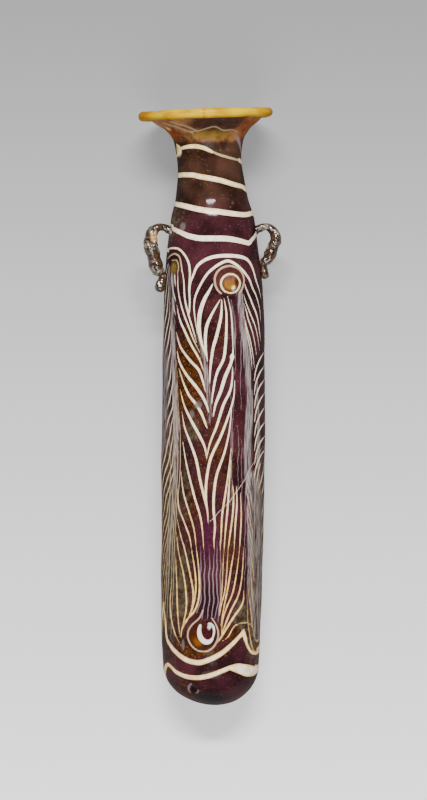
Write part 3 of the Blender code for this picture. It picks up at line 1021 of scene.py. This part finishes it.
# Sizes of the glass's clouds, mottles, bubbles and streaks in millimetres, and how the streaks are drawn
# out. Many real bubbles are finer, and wouldn't show
CLOUD = 9
MOTTLE = 1.6
BUBBLE = 0.35
STREAK = 0.42
DRAWN_OUT = (1.0, 0.06, 1.0)

# How the clouds and the mottles go from dark to light
CLOUD_SPAN = (0.32, 0.68)
STAIN_SPAN = (0.3, 0.7)
THREAD_SPAN = (0.35, 0.65)

# Depths in millimetres, from just outside a drawn line to just inside it, over which its edge softens
THREAD_EDGE = (-0.07, 0.07)
FINE_EDGE = (-0.08, 0.08)
CURL_EDGE = (-0.1, 0.1)
CRACK_EDGE = (-0.17, -0.04)
BUNDLE_EDGE = (-0.35, 0.35)


def stained_ground(tree, read, cloud, fine, grain):
    """Purple glass, brown at the neck and amber where it thins at the flare, with stains of both and olive.

    Returns its colour, and how much of it is amber and olive.
    """
    drift = add(tree, "Math", TIMES, (add(tree, "Math", MINUS, (fine, 0.5)), 0.9))
    at_neck = add(tree, "Math", PLUS, (read["height"], add(tree, "Math", TIMES, (drift, 8))))
    at_flare = add(tree, "Math", PLUS, (read["height"], add(tree, "Math", TIMES, (drift, 3))))
    necked = add(tree, "MapRange", SMOOTH, (at_neck, *NECK_FROM))
    flared = add(tree, "MapRange", SMOOTH, (at_flare, *FLARE_FROM))
    ambered = add(tree, "MapRange", SMOOTH, (add(tree, "Math", PLUS, (read["amber"], drift)), 0.15, 0.8))
    olived = add(tree, "MapRange", SMOOTH, (add(tree, "Math", PLUS, (read["olive"], drift)), 0.2, 0.85))
    broad, close = (add(tree, "Math", TIMES, part) for part in ((cloud, 0.7), (fine, 0.3)))
    both = add(tree, "Math", PLUS, (broad, close))
    flecked = add(tree, "Math", TIMES, (ambered, add(tree, "MapRange", SMOOTH, (grain, 0.6, 0.7))))
    layers = (
        (necked, mottled(tree, cloud, CLOUD_SPAN, NECK_BROWN)),
        (ambered, mottled(tree, fine, STAIN_SPAN, AMBER)),
        (olived, mottled(tree, fine, STAIN_SPAN, OLIVE)),
        (flared, mottled(tree, both, (0.36, 0.62), THIN_AMBER)),
        (flecked, srgb(GOLDEN_FLECK)),
    )
    return layered(tree, mottled(tree, cloud, CLOUD_SPAN, PURPLE), layers), ambered, olived


def combed_lines(tree, read, streak, olived):
    """Where the comb's fine threads lie on the sides and the back, and where threads blur to grey streaks."""
    crowded = add(tree, "MapRange", SMOOTH, (read["crowding"], 0.7, 1.5))
    part = add(tree, "Math", MINUS, (add(tree, "Math", {"operation": "FRACT"}, (read["turns"],)), 0.5))
    near = add(tree, "Math", MINUS, (0.5, add(tree, "Math", {"operation": "ABSOLUTE"}, (part,))))
    inner = add(tree, "Math", TIMES, (read["thread_width"], 0.75))
    apart = add(tree, "MapRange", SMOOTH, (near, inner, read["thread_width"], 1.0, 0.0))
    shown = add(tree, "Math", TIMES, (apart, add(tree, "Math", MINUS, (1.0, crowded))))
    combed = add(tree, "Math", TIMES, (shown, read["open"]))
    unevenly = add(tree, "Math", TIMES, (add(tree, "Math", MINUS, (streak, 0.5)), 1.4))
    tied = add(tree, "Math", PLUS, (read["bundle"], unevenly))
    bundled = add(tree, "MapRange", SMOOTH, (tied, *BUNDLE_EDGE, 0.0, 0.8))
    grey_share = add(tree, "MapRange", SMOOTH, (streak, 0.3, 0.65, 0.0, 0.75))
    smeared = add(tree, "Math", TIMES, (add(tree, "Math", TIMES, (crowded, read["open"])), grey_share))
    greyed = add(tree, "Math", LARGER, (bundled, smeared))
    unstained = add(tree, "Math", MINUS, (1.0, add(tree, "Math", TIMES, (olived, 0.35))))
    return add(tree, "Math", TIMES, (combed, 0.7)), add(tree, "Math", TIMES, (greyed, unstained))


def thread_colours(tree, read, fine, ambered):
    """The colour of thin threads, and of thick ones, which are paler along their middle.

    Low on the body and on amber glass the threads are tan where they are thin, and they are cream on the
    neck and low on the body.
    """
    low = add(tree, "MapRange", SMOOTH, (read["height"], *TAN_TO, 1.0, 0.0))
    tanned = [add(tree, "Math", TIMES, part) for part in ((low, 0.75), (ambered, 0.6))]
    warmer = add(tree, "Math", LARGER, (low, add(tree, "MapRange", SMOOTH, (read["height"], *CREAM_FROM))))
    rind = add(tree, "MapRange", SMOOTH, (read["laid"], 0.25, 0.6, 1.0, 0.15))
    warmer = add(tree, "Math", TIMES, (warmer, rind))
    white, cream, tan = (mottled(tree, fine, THREAD_SPAN, colours) for colours in (WHITE, CREAM, TAN))
    pale = add(tree, "Mix", COLOURS, (warmer, white, cream))
    thin = add(tree, "Mix", COLOURS, (add(tree, "Math", LARGER, tanned), pale, tan))
    heart = add(tree, "MapRange", SMOOTH, (read["laid"], 0.04, 0.24))
    return thin, add(tree, "Mix", COLOURS, (heart, thin, pale))


# What the mesh stores at its points for this finish, apart from the spots, which are a colour
MESH_VALUES = (
    "height", "laid", "amber", "olive", "turns", "thread_width", "crowding", "open", "bundle", "fine_line",
    "browned", "drop_ring", "curl", "crack", "chip",
)


def combed_glass():
    """Dark purple glass with opaque white threads melted flush into it.

    The body was wound round a core, so the colour drifts in cloudy streaks, and the threads blur a little
    at their edges where hot glass ran. Burial has dulled the polish in patches and left tiny open bubbles.
    """
    material, tree, place = new_material("combed_purple_glass")
    read = {name: add(tree, "Attribute", {"attribute_name": name}).outputs["Fac"] for name in MESH_VALUES}
    cloud = add(tree, "TexNoise", None, (place, lumps(CLOUD), 3))
    fine = add(tree, "TexNoise", None, (place, lumps(MOTTLE), 3, 0.6))
    grain = add(tree, "TexNoise", None, (place, lumps(BUBBLE), 2))
    drawn = add(tree, "Mapping", None, {"Vector": place, "Scale": DRAWN_OUT})
    streak = add(tree, "TexNoise", None, (drawn, lumps(STREAK), 2, 0.6))
    ground, ambered, olived = stained_ground(tree, read, cloud, fine, grain)
    combed, greyed = combed_lines(tree, read, streak, olived)
    thin, thick = thread_colours(tree, read, fine, ambered)
    spots = add(tree, "Attribute", {"attribute_name": "spots"})
    darker = add(tree, "VectorMath", {"operation": "SCALE"}, (spots.outputs["Color"], 0.6))
    blotched = add(tree, "MapRange", SMOOTH, (fine, 0.3, 0.6))
    thread = add(tree, "MapRange", SMOOTH, (read["laid"], *THREAD_EDGE))
    layers = (
        (greyed, mottled(tree, streak, (0.36, 0.6), GREY_LILAC)),
        (combed, thin),
        (add(tree, "MapRange", SMOOTH, (read["fine_line"], *FINE_EDGE, 0.0, 0.62)), srgb(FINE_LILAC)),
        (spots.outputs["Alpha"], add(tree, "Mix", COLOURS, (blotched, darker, spots.outputs["Color"]))),
        (add(tree, "MapRange", SMOOTH, (read["browned"], *THREAD_EDGE, 0.0, 0.85)), srgb(BROWNED_WHITE)),
        (add(tree, "MapRange", SMOOTH, (read["drop_ring"], *THREAD_EDGE)), srgb(RING_CREAM)),
        (thread, thick),
        (add(tree, "MapRange", SMOOTH, (read["curl"], *CURL_EDGE)), srgb(CURL_WHITE)),
        (add(tree, "MapRange", SMOOTH, (read["crack"], *CRACK_EDGE, 0.0, 0.8)), srgb(CRACK_LIGHT)),
        (add(tree, "MapRange", SMOOTH, (grain, 0.66, 0.74, 0.0, 0.28)), srgb(BUBBLE_LIGHT)),
        (read["chip"], srgb(BREAK_GREY)),
    )
    proud, pitted, patchy = (
        add(tree, "Math", TIMES, part) for part in ((thread, 0.4), (fine, 0.5), (cloud, 0.4))
    )
    relief = add(tree, "Math", PLUS, (proud, pitted))
    dull = add(tree, "MapRange", SMOOTH, (read["height"], *DULL_TO, 0.2, 0.0))
    return finished(material, {
        "Base Color": layered(tree, ground, layers),
        "Roughness": add(tree, "Math", PLUS, (dull, patchy)),
        "Normal": add(tree, "Bump", None, {"Strength": 0.3, "Distance": PIT_DEPTH * MM, "Height": relief}),
        "IOR": GLASS_IOR,
        **worn_polish(0.1, 0.09),
    })


# Colours of the rim's rod: its yellow, its palest streaks, and the orange brown of its scorched patches,
# which also paints shade on the rod's two ends
YELLOW = ("8e6600", "ac8c00")
YELLOW_CREAM = "c4a648"
SCORCH_AND_PAINTED_SHADE = "824600"

# Sizes of the rod's streaks and pits in millimetres, and how the streaks are drawn out
ROD_STREAK = 3
ROD_PIT = 0.6
ROD_DRAWN_OUT = (0.35, 1.0, 0.35)


def trailed_yellow():
    """Opaque yellow glass laid on as a soft rod. It melted to a smooth skin, streaked where it was drawn."""
    material, tree, place = new_material("opaque_yellow_glass")
    stretched = add(tree, "Mapping", None, {"Vector": place, "Scale": ROD_DRAWN_OUT})
    streak = add(tree, "TexNoise", None, (stretched, lumps(ROD_STREAK), 4, 0.6))
    fine = add(tree, "TexNoise", None, (place, lumps(ROD_PIT), 3))
    shade = add(tree, "Attribute", {"attribute_name": "shade"})
    layers = (
        (add(tree, "MapRange", SMOOTH, (streak, 0.62, 0.8)), srgb(YELLOW_CREAM)),
        # Painted shade on the rod's two ends, with the scorched patches and the crack
        (shade.outputs["Fac"], srgb(SCORCH_AND_PAINTED_SHADE)),
    )
    return finished(material, {
        "Base Color": layered(tree, mottled(tree, streak, (0.32, 0.6), YELLOW), layers),
        "Roughness": 0.22,
        "Normal": add(tree, "Bump", None, {"Strength": 0.3, "Distance": PIT_DEPTH * MM, "Height": fine}),
        **worn_polish(0.12, 0.14),
    })


# Colours of the handles: their glass, the skin that burial left on it, and the scar
HANDLE_BROWN = ("100a07", "392719")
SILVERY_SKIN = ("2c271f", "6e6656")
SCAR_PALE = ("6e4c26", "b0946c")

# Sizes of the skin's patches and flakes in millimetres, and how the flakes go from dark to light
SKIN_PATCH = 3.2
SKIN_FLAKE = 0.7
SKIN_SPAN = (0.4, 0.6)


def weathered_handle_glass():
    """Dark brown glass under a flaking silvery skin, which burial left in its hollows."""
    material, tree, place = new_material("weathered_handle_glass")
    patches = add(tree, "TexNoise", None, (place, lumps(SKIN_PATCH), 3, 0.6))
    fine = add(tree, "TexNoise", None, (place, lumps(SKIN_FLAKE), 3, 0.6))
    scar = add(tree, "Attribute", {"attribute_name": "scar"})
    crust = add(tree, "MapRange", SMOOTH, (patches, 0.48, 0.68))
    layers = (
        (crust, mottled(tree, fine, SKIN_SPAN, SILVERY_SKIN)),
        (scar.outputs["Fac"], mottled(tree, fine, SKIN_SPAN, SCAR_PALE)),
    )
    parts = [add(tree, "Math", TIMES, part) for part in ((crust, 0.6), (fine, 0.5))]
    relief = {"Strength": 0.6, "Distance": HANDLE_PIT_DEPTH * MM, "Height": add(tree, "Math", PLUS, parts)}
    return finished(material, {
        "Base Color": layered(tree, mottled(tree, fine, THREAD_SPAN, HANDLE_BROWN), layers),
        "Roughness": add(tree, "MapRange", None, (crust, 0.0, 1.0, 0.12, 0.3)),
        "Normal": add(tree, "Bump", None, relief),
        "IOR": GLASS_IOR,
    })


# Meshes

def ring_angles():
    """Columns round the vessel from the back, close together on the front."""
    front = np.linspace(-FRONT_SPREAD, FRONT_SPREAD, FRONT_COLUMNS + 1)
    side = np.linspace(FRONT_SPREAD, math.pi, BACK_COLUMNS // 2 + 1)[1:]
    return np.concatenate([-side[::-1], front, side])[:-1]


def outer_rings():
    """(height, radius) of the rings from just above the base's pole to the disc's edge."""
    turn = np.linspace(0, math.pi / 2, DOME_RINGS, endpoint=False)[1:]
    dome = DOME_LENGTH * (1 - np.cos(turn))
    body = np.linspace(DOME_LENGTH, BODY_RINGS_TO, BODY_RINGS, endpoint=False)
    neck = np.linspace(BODY_RINGS_TO, FLARE_RINGS_FROM, NECK_RINGS, endpoint=False)
    flare = np.linspace(FLARE_RINGS_FROM, DISC_UNDERSIDE, FLARE_RINGS)
    heights = np.concatenate([dome, body, neck, flare])
    return heights, outer_radius(heights)


# The funnel inside the mouth: (share of its depth, share of its spread). Below it, the steps from the
# hollow's wall to the middle of its floor
FUNNEL = ((0, 1), (0.04, 0.8), (0.15, 0.55), (0.3, 0.33), (0.5, 0.2), (0.75, 0.08))
FLOOR_STEPS = 7


def hollow_rings():
    """(height, radius) of the hollow's rings, from the disc's edge down to just above its floor."""
    spread = DISC_EDGE_RADIUS - MOUTH_RADIUS
    funnel = [(DISC_TOP - MOUTH_DEPTH * down, MOUTH_RADIUS + spread * out) for down, out in FUNNEL]
    knots = (
        (DOME_LENGTH, DOME_RADIUS - WALL),
        (BELLY[0], BELLY[1] - WALL),
        (UPPER_BODY[0], UPPER_BODY[1] - WALL),
        (SHOULDER[0] - WALL, SHOULDER[1] - WALL),
        (NECK_ROOT[0], NECK_BORE_RADIUS),
        (NECK, NECK_BORE_RADIUS),
        (DISC_TOP - MOUTH_DEPTH, MOUTH_RADIUS),
    )
    heights = np.linspace(DISC_TOP - MOUTH_DEPTH, DOME_LENGTH, HOLLOW_RINGS)
    wall = list(zip(heights, curve_through(knots, heights)))
    depth, wide = DOME_LENGTH - BASE_THICKNESS, DOME_RADIUS - WALL
    turns = np.linspace(math.pi / 2, 0, FLOOR_STEPS)[1:-1]
    floor = [(DOME_LENGTH - depth * math.cos(turn), wide * math.sin(turn)) for turn in turns]
    rings = np.array(funnel + wall + floor)
    return rings[:, 0], rings[:, 1]


def relief(angle, height):
    """How far the hand-worked surface stands proud of the outline, in mm, and how worn each point is."""
    swell = 0.10 * np.sin(2 * angle + 0.05 * height) * np.sin(0.11 * height + 1)
    swell += 0.06 * np.sin(3 * angle - 0.21 * height + 2) + 0.04 * np.sin(5 * angle + 0.4 * height)
    chip = np.zeros(angle.shape)
    radius = outer_radius(height)
    for place, wide, high, depth, grey in CHIPS:
        a0, h0 = on_glass(*place)
        gap = np.hypot(shorter_turn(angle - a0) * radius / wide, (height - h0) / high)
        inside = np.clip((1.15 - gap) / 0.3, 0, 1)
        swell -= depth * inside
        chip = np.maximum(chip, inside * grey)
    return swell, chip


def mesh_from_rings(name, points, poles):
    """A closed mesh over rings of points, with a pole at either end."""
    rings, columns = points.shape[:2]
    vertices = np.vstack([points.reshape(-1, 3), poles])
    ring, column = np.meshgrid(np.arange(rings - 1), np.arange(columns), indexing="ij")
    after = (column + 1) % columns
    here, above = ring * columns, (ring + 1) * columns
    quads = np.stack([here + column, here + after, above + after, above + column], axis=-1).reshape(-1, 4)
    first, last = rings * columns, rings * columns + 1
    fans = [(first, (i + 1) % columns, i) for i in range(columns)]
    top = (rings - 1) * columns
    fans += [(last, top + i, top + (i + 1) % columns) for i in range(columns)]
    mesh = bpy.data.meshes.new(name)
    mesh.from_pydata(vertices.tolist(), [], quads.tolist() + fans)
    mesh.shade_smooth()
    return mesh


def point_values(mesh, name, values):
    """Stores one number, or one colour with alpha, for each of the mesh's points."""
    kind, channel, shape = ("FLOAT_COLOR", "color", (4,)) if values.ndim == 2 else ("FLOAT", "value", ())
    attribute = mesh.attributes.new(name, kind, "POINT")
    full = np.zeros((len(mesh.vertices), *shape), np.float32)
    full[: len(values)] = values
    attribute.data.foreach_set(channel, full.ravel())


def corner_turns(mesh, turns, columns):
    """The thread's turns at each face corner. Across the seam at the back they differ by one whole turn."""
    corner = np.zeros(len(mesh.loops), np.int32)
    mesh.loops.foreach_get("vertex_index", corner)
    values = np.append(turns.reshape(-1), [0, 0])[corner].astype(np.float32)
    sizes = np.zeros(len(mesh.polygons), np.int32)
    mesh.polygons.foreach_get("loop_total", sizes)
    column = corner % columns
    face = np.repeat(np.arange(len(sizes)), sizes)
    has_last = np.zeros(len(sizes), bool)
    np.logical_or.at(has_last, face, column == columns - 1)
    has_first = np.zeros(len(sizes), bool)
    np.logical_or.at(has_first, face, column == 0)
    seam = (has_last & has_first)[face] & (column == 0) & (sizes[face] == 4)
    values[seam] -= 1
    attribute = mesh.attributes.new("turns", "FLOAT", "CORNER")
    attribute.data.foreach_set("value", values)


def make_piece(name, mesh, material, node):
    """One visible piece, which stands for a node of the CAD model."""
    piece = bpy.data.objects.new(name, mesh)
    bpy.context.scene.collection.objects.link(piece)
    mesh.materials.append(material)
    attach(piece, "root")
    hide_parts(node)
    return piece


def crowding(turns, height, angle, radius):
    """Turns of the thread to the millimetre, at every point of the rings."""
    up = np.gradient(turns, axis=0) / (np.abs(np.gradient(height, axis=0)) + 1e-6)
    after = (np.roll(turns, -1, axis=1) - turns + 0.5) % 1 - 0.5
    step = (np.roll(angle, -1, axis=1) - angle) % (2 * math.pi)
    return np.hypot(up, after / (step * radius + 1e-6)).reshape(-1)


# Half width of a combed thread, as a share of the space from one to the next, and the heights it holds at
THREAD_WIDTHS = (0.12, 0.13, 0.14, 0.13)
THREAD_WIDTH_HEIGHTS = (30, 60, 110, 128)

# The hand-worked relief fades over this length towards the flare and the pole, to no less than this share
RELIEF_FADE = 8.0
RELIEF_LEAST = 0.15


def make_vessel():
    """Body, neck and rim disc, outside and inside, with all that the finish reads stored on the mesh."""
    angles = ring_angles()
    heights, radii = outer_rings()
    low_heights, low_radii = hollow_rings()
    all_heights = np.concatenate([heights, low_heights])
    all_radii = np.concatenate([radii, low_radii])
    height, angle = np.meshgrid(all_heights, angles, indexing="ij")
    radius = np.repeat(all_radii[:, None], len(angles), axis=1)
    swell, chip = relief(angle, height)
    outside = np.arange(len(all_heights))[:, None] < len(heights)
    calm = np.clip((THROAT - height) / RELIEF_FADE, RELIEF_LEAST, 1) * np.clip(radius / RELIEF_FADE, 0, 1)
    points = lying(on_ring(height, np.where(outside, radius + swell * calm, radius), angle))
    floor = [axis_centre(BASE_THICKNESS), BASE_THICKNESS, 0]
    poles = lying(np.array([[axis_centre(0), 0, 0], floor], float))
    mesh = mesh_from_rings("vessel_glass", points, poles)
    found = pattern(angle.reshape(-1), height.reshape(-1))
    inside = ~np.repeat(outside, len(angles), axis=1).reshape(-1)
    for name in ("laid", "browned", "fine_line", "drop_ring", "curl", "bundle", "crack"):
        found[name][inside] = NOWHERE
    for name in ("open", "amber", "olive", "spots"):
        found[name][inside] = 0
    turns = found.pop("turns")
    found["crowding"] = crowding(turns.reshape(height.shape), height, angle, radius) + found.pop("rubbed")
    corner_turns(mesh, turns, len(angles))
    found["chip"] = np.where(inside, 0, chip.reshape(-1))
    found["thread_width"] = np.interp(height.reshape(-1), THREAD_WIDTH_HEIGHTS, THREAD_WIDTHS)
    for name, values in found.items():
        point_values(mesh, name, values)
    return make_piece("vessel_glass", mesh, combed_glass(), "vessel")


# Facets round the rim and round its rod, and the short crack across the rod's front
RIM_COLUMNS = 220
RIM_SIDES = 28
RIM_CRACK_TURN = math.radians(1.0)
RIM_CRACK_HALF = 0.016


def make_rim():
    """The yellow rod laid round the disc's edge, uneven as it was drawn off."""
    around = np.linspace(0, 2 * math.pi, RIM_COLUMNS, endpoint=False)
    turn = np.linspace(0, 2 * math.pi, RIM_SIDES, endpoint=False)
    a, t = np.meshgrid(around, turn, indexing="ij")
    swell = 0.97 + 0.05 * np.sin(3 * a + 1) + 0.03 * np.sin(7 * a) + 0.02 * np.sin(13 * a + 2)
    thick = TRAIL_RADIUS * swell
    radius = np.minimum(TRAIL_CENTRE_RADIUS + (thick * 1.02) * np.cos(t), RIM_RADIUS)
    points = on_ring(np.full(a.shape, TRAIL_HEIGHT), radius, a)
    points[..., 1] += thick * np.sin(t)
    corner = np.arange(a.size).reshape(a.shape)
    beside, ahead = np.roll(corner, -1, axis=1), np.roll(corner, -1, axis=0)
    faces = np.stack([corner, beside, np.roll(ahead, -1, axis=1), ahead], axis=-1).reshape(-1, 4)
    mesh = bpy.data.meshes.new("rim_coil")
    mesh.from_pydata(lying(points).reshape(-1, 3).tolist(), [], faces.tolist())
    mesh.shade_smooth()
    # Painted shade on the rod's two ends, 90 degrees either way from the front, and scorched patches between
    scorch_and_painted_shade = np.clip(0.6 * np.abs(np.sin(a)) ** 8 + 0.2 * np.sin(5 * a + 1), 0, 1)
    cracked = np.exp(-((shorter_turn(a + RIM_CRACK_TURN) / RIM_CRACK_HALF) ** 2))
    point_values(mesh, "shade", np.maximum(scorch_and_painted_shade, cracked).reshape(-1))
    return make_piece("rim_coil", mesh, trailed_yellow(), "rim_trail")


# Sizes of both handles
HANDLE_TOP = 139.3
HANDLE_ARCH = 0.9
HANDLE_ROOT_RADIUS = 1.05
HANDLE_TAIL_RADIUS = 1.2

# Each handle: degrees round from the front, reach, loop's drop, belly radius, tail length and knob radius
HANDLES = {
    "right_handle": (94.0, 5.9, 7.9, 1.65, 5.3, 1.2),
    "left_handle": (-74.0, 6.2, 11.2, 2.05, 5.4, 1.6),
}

# Facets round a handle and along each stretch of it, and the half round end of its knob in degrees
HANDLE_SIDES = 40
HANDLE_STEPS = 16
KNOB_TURNS = (18, 36, 54, 70, 82)

# The lumps of the weathered skin: their depth as a share of the radius, and (lumps to the mm, weight)
LUMP_DEPTH = 0.16
LUMPS = ((0.55, 1.0), (1.4, 0.6))

# A pale scar on the left handle where its skin flaked off: place from above and half width, in mm
SCAR_PLACE = (-16.2, 49.3)
SCAR_RADIUS = 1.3
SCAR_LENGTHENED = 1.5
SCAR_EDGE = 0.5


def handle_line(reach, loop, belly, tail, knob):
    """(distance from the axis, height, radius of the rod) at the points that a handle's rod runs through."""
    foot = HANDLE_TOP - loop
    end = foot - tail
    wall = float(outer_radius(HANDLE_TOP))
    seat = float(outer_radius(foot)) + HANDLE_TAIL_RADIUS
    knob_seat = float(outer_radius(end)) + knob
    root = HANDLE_ROOT_RADIUS
    return np.array(
        (
            (wall - 1.15 * root, HANDLE_TOP - 0.75 * root, 1.3 * root),
            (wall + 0.45 * reach, HANDLE_TOP + HANDLE_ARCH, root),
            (wall + 0.86 * reach, HANDLE_TOP - 0.02 * loop, 0.8 * belly),
            (wall + reach, HANDLE_TOP - 0.34 * loop, belly),
            (wall + 0.86 * reach, HANDLE_TOP - 0.66 * loop, belly),
            (0.45 * (wall + reach) + 0.55 * seat, foot, belly),
            (seat, foot - 0.4 * tail, HANDLE_TAIL_RADIUS),
            (knob_seat, end, knob),
        )
    )


def lumpy(points):
    """The rings of a rod, swollen and pitted as the weathered skin leaves them."""
    middle = points.mean(axis=1, keepdims=True)
    lump = np.array([
        sum(weight * noise.noise(Vector(point) * close) for close, weight in LUMPS)
        for point in points.reshape(-1, 3)
    ])
    return middle + (points - middle) * (1 + LUMP_DEPTH * lump.reshape(*points.shape[:2], 1))


def make_handle(name, glass, turn_deg, *sizes):
    """A looped rod of glass whose tail lies on the body and closes in a knob."""
    turn = math.radians(turn_deg)
    line = smooth_course(handle_line(*sizes).T, HANDLE_STEPS).T
    around = np.linspace(0, 2 * math.pi, HANDLE_SIDES, endpoint=False)
    outward = np.array([math.sin(turn), 0, math.cos(turn)])
    upward = np.array([0, 1.0, 0])
    sideways = np.cross(outward, upward)
    ends = np.diff(line[:, :2], axis=0)
    ends = np.vstack([ends, ends[-1:]])
    ends /= np.linalg.norm(ends, axis=1)[:, None]
    last, way, size = line[-1, :2], ends[-1], line[-1, 2]
    cap = [(*(last + way * size * math.sin(k)), size * math.cos(k)) for k in np.radians(KNOB_TURNS)]
    line = np.vstack([line, cap])
    ends = np.vstack([ends] + [way[None]] * len(cap))
    axis = np.array([float(axis_centre(HANDLE_TOP)), 0, 0])
    rings = []
    for (out, height, radius), ahead in zip(line, ends):
        side = np.array([ahead[1], -ahead[0]])
        out_height = np.array([out, height]) + side * radius * np.cos(around)[:, None]
        ring = axis + outward * out_height[:, :1] + upward * out_height[:, 1:]
        rings.append(ring + sideways * (radius * np.sin(around))[:, None])
    points = lumpy(np.array(rings))
    poles = np.array([points[0].mean(axis=0), points[-1].mean(axis=0) + upward * -0.05])
    placed = lying(points)
    mesh = mesh_from_rings(name + "_glass", placed, lying(poles))
    across, along = placed[..., 0] / MM - SCAR_PLACE[0], placed[..., 1] / MM - SCAR_PLACE[1]
    inside = SCAR_RADIUS - np.hypot(across, along / SCAR_LENGTHENED)
    point_values(mesh, "scar", np.clip(inside / SCAR_EDGE, 0, 1).reshape(-1))
    return make_piece(name + "_glass", mesh, glass, name)


# The set

# The floor: half its side, the places along Y between which its painted shade goes from darker to lighter,
# and its glow
FLOOR_HALF = 3.0
FLOOR_SHADED = (0.13, -0.13)
FLOOR_TONES = ("4a4a4a", "959595")
FLOOR_GLOW = 2.8

# Each light: place, width and length, and watts. All of them point at the flask
LIGHTS = {
    "key_above": ((0.0, 0.75, 1.35), (0.8, 0.14), 76),
    "fill_below": ((0.0, -0.7, 1.3), (1.2, 0.7), 24),
}
LIGHT_AIM = (0, 0, 0.02)
WORLD_TONE = "dcdce0"
WORLD_STRENGTH = 0.26


def pale_sheet():
    """Matt paper, its painted shade lighter towards the flask's foot. Its glow is painted light that keeps
    shadows soft.
    """
    material, tree, place = new_material("pale_floor")
    along = add(tree, "SeparateXYZ", None, {"Vector": place}).outputs["Y"]
    lighter = add(tree, "MapRange", None, (along, *FLOOR_SHADED))
    lighter = add(tree, "Math", {"operation": "POWER"}, (lighter, 1.3))
    tone = add(tree, "Mix", COLOURS, (lighter, *(srgb(code) for code in FLOOR_TONES)))
    return finished(material, {
        "Base Color": tone,
        "Roughness": 0.9,
        "Emission Color": tone,
        "Emission Strength": FLOOR_GLOW,
    })


def make_floor():
    mesh = bpy.data.meshes.new("floor")
    corners = [(x * FLOOR_HALF, y * FLOOR_HALF, 0) for x, y in ((-1, -1), (1, -1), (1, 1), (-1, 1))]
    mesh.from_pydata(corners, [], [(0, 1, 2, 3)])
    mesh.materials.append(pale_sheet())
    floor = bpy.data.objects.new("floor", mesh)
    bpy.context.scene.collection.objects.link(floor)


def make_lights():
    """A long soft light over the mouth's end, a broad weak one over the foot's, and an even pale room."""
    for name, (place, size, power) in LIGHTS.items():
        light = bpy.data.lights.new(name, "AREA")
        light.shape = "ELLIPSE"
        light.size, light.size_y = size
        light.energy = power
        lamp = bpy.data.objects.new(name, light)
        lamp.location = place
        lamp.rotation_euler = (Vector(LIGHT_AIM) - Vector(place)).to_track_quat("-Z", "Y").to_euler()
        bpy.context.scene.collection.objects.link(lamp)
    world = bpy.data.worlds.new("studio")
    world.use_nodes = True
    background = world.node_tree.nodes["Background"]
    background.inputs["Color"].default_value = srgb(WORLD_TONE)
    background.inputs["Strength"].default_value = WORLD_STRENGTH
    bpy.context.scene.world = world


def make_camera():
    data = bpy.data.cameras.new("camera")
    data.sensor_width = SENSOR
    data.lens = CAMERA_LENS
    data.clip_end = 20
    camera = bpy.data.objects.new("camera", data)
    camera.location = CAMERA_PLACE
    bpy.context.scene.collection.objects.link(camera)
    bpy.context.scene.camera = camera


make_vessel()
make_rim()
handle_glass = weathered_handle_glass()
for handle, sizes in HANDLES.items():
    make_handle(handle, handle_glass, *sizes)
make_floor()
make_lights()
make_camera()
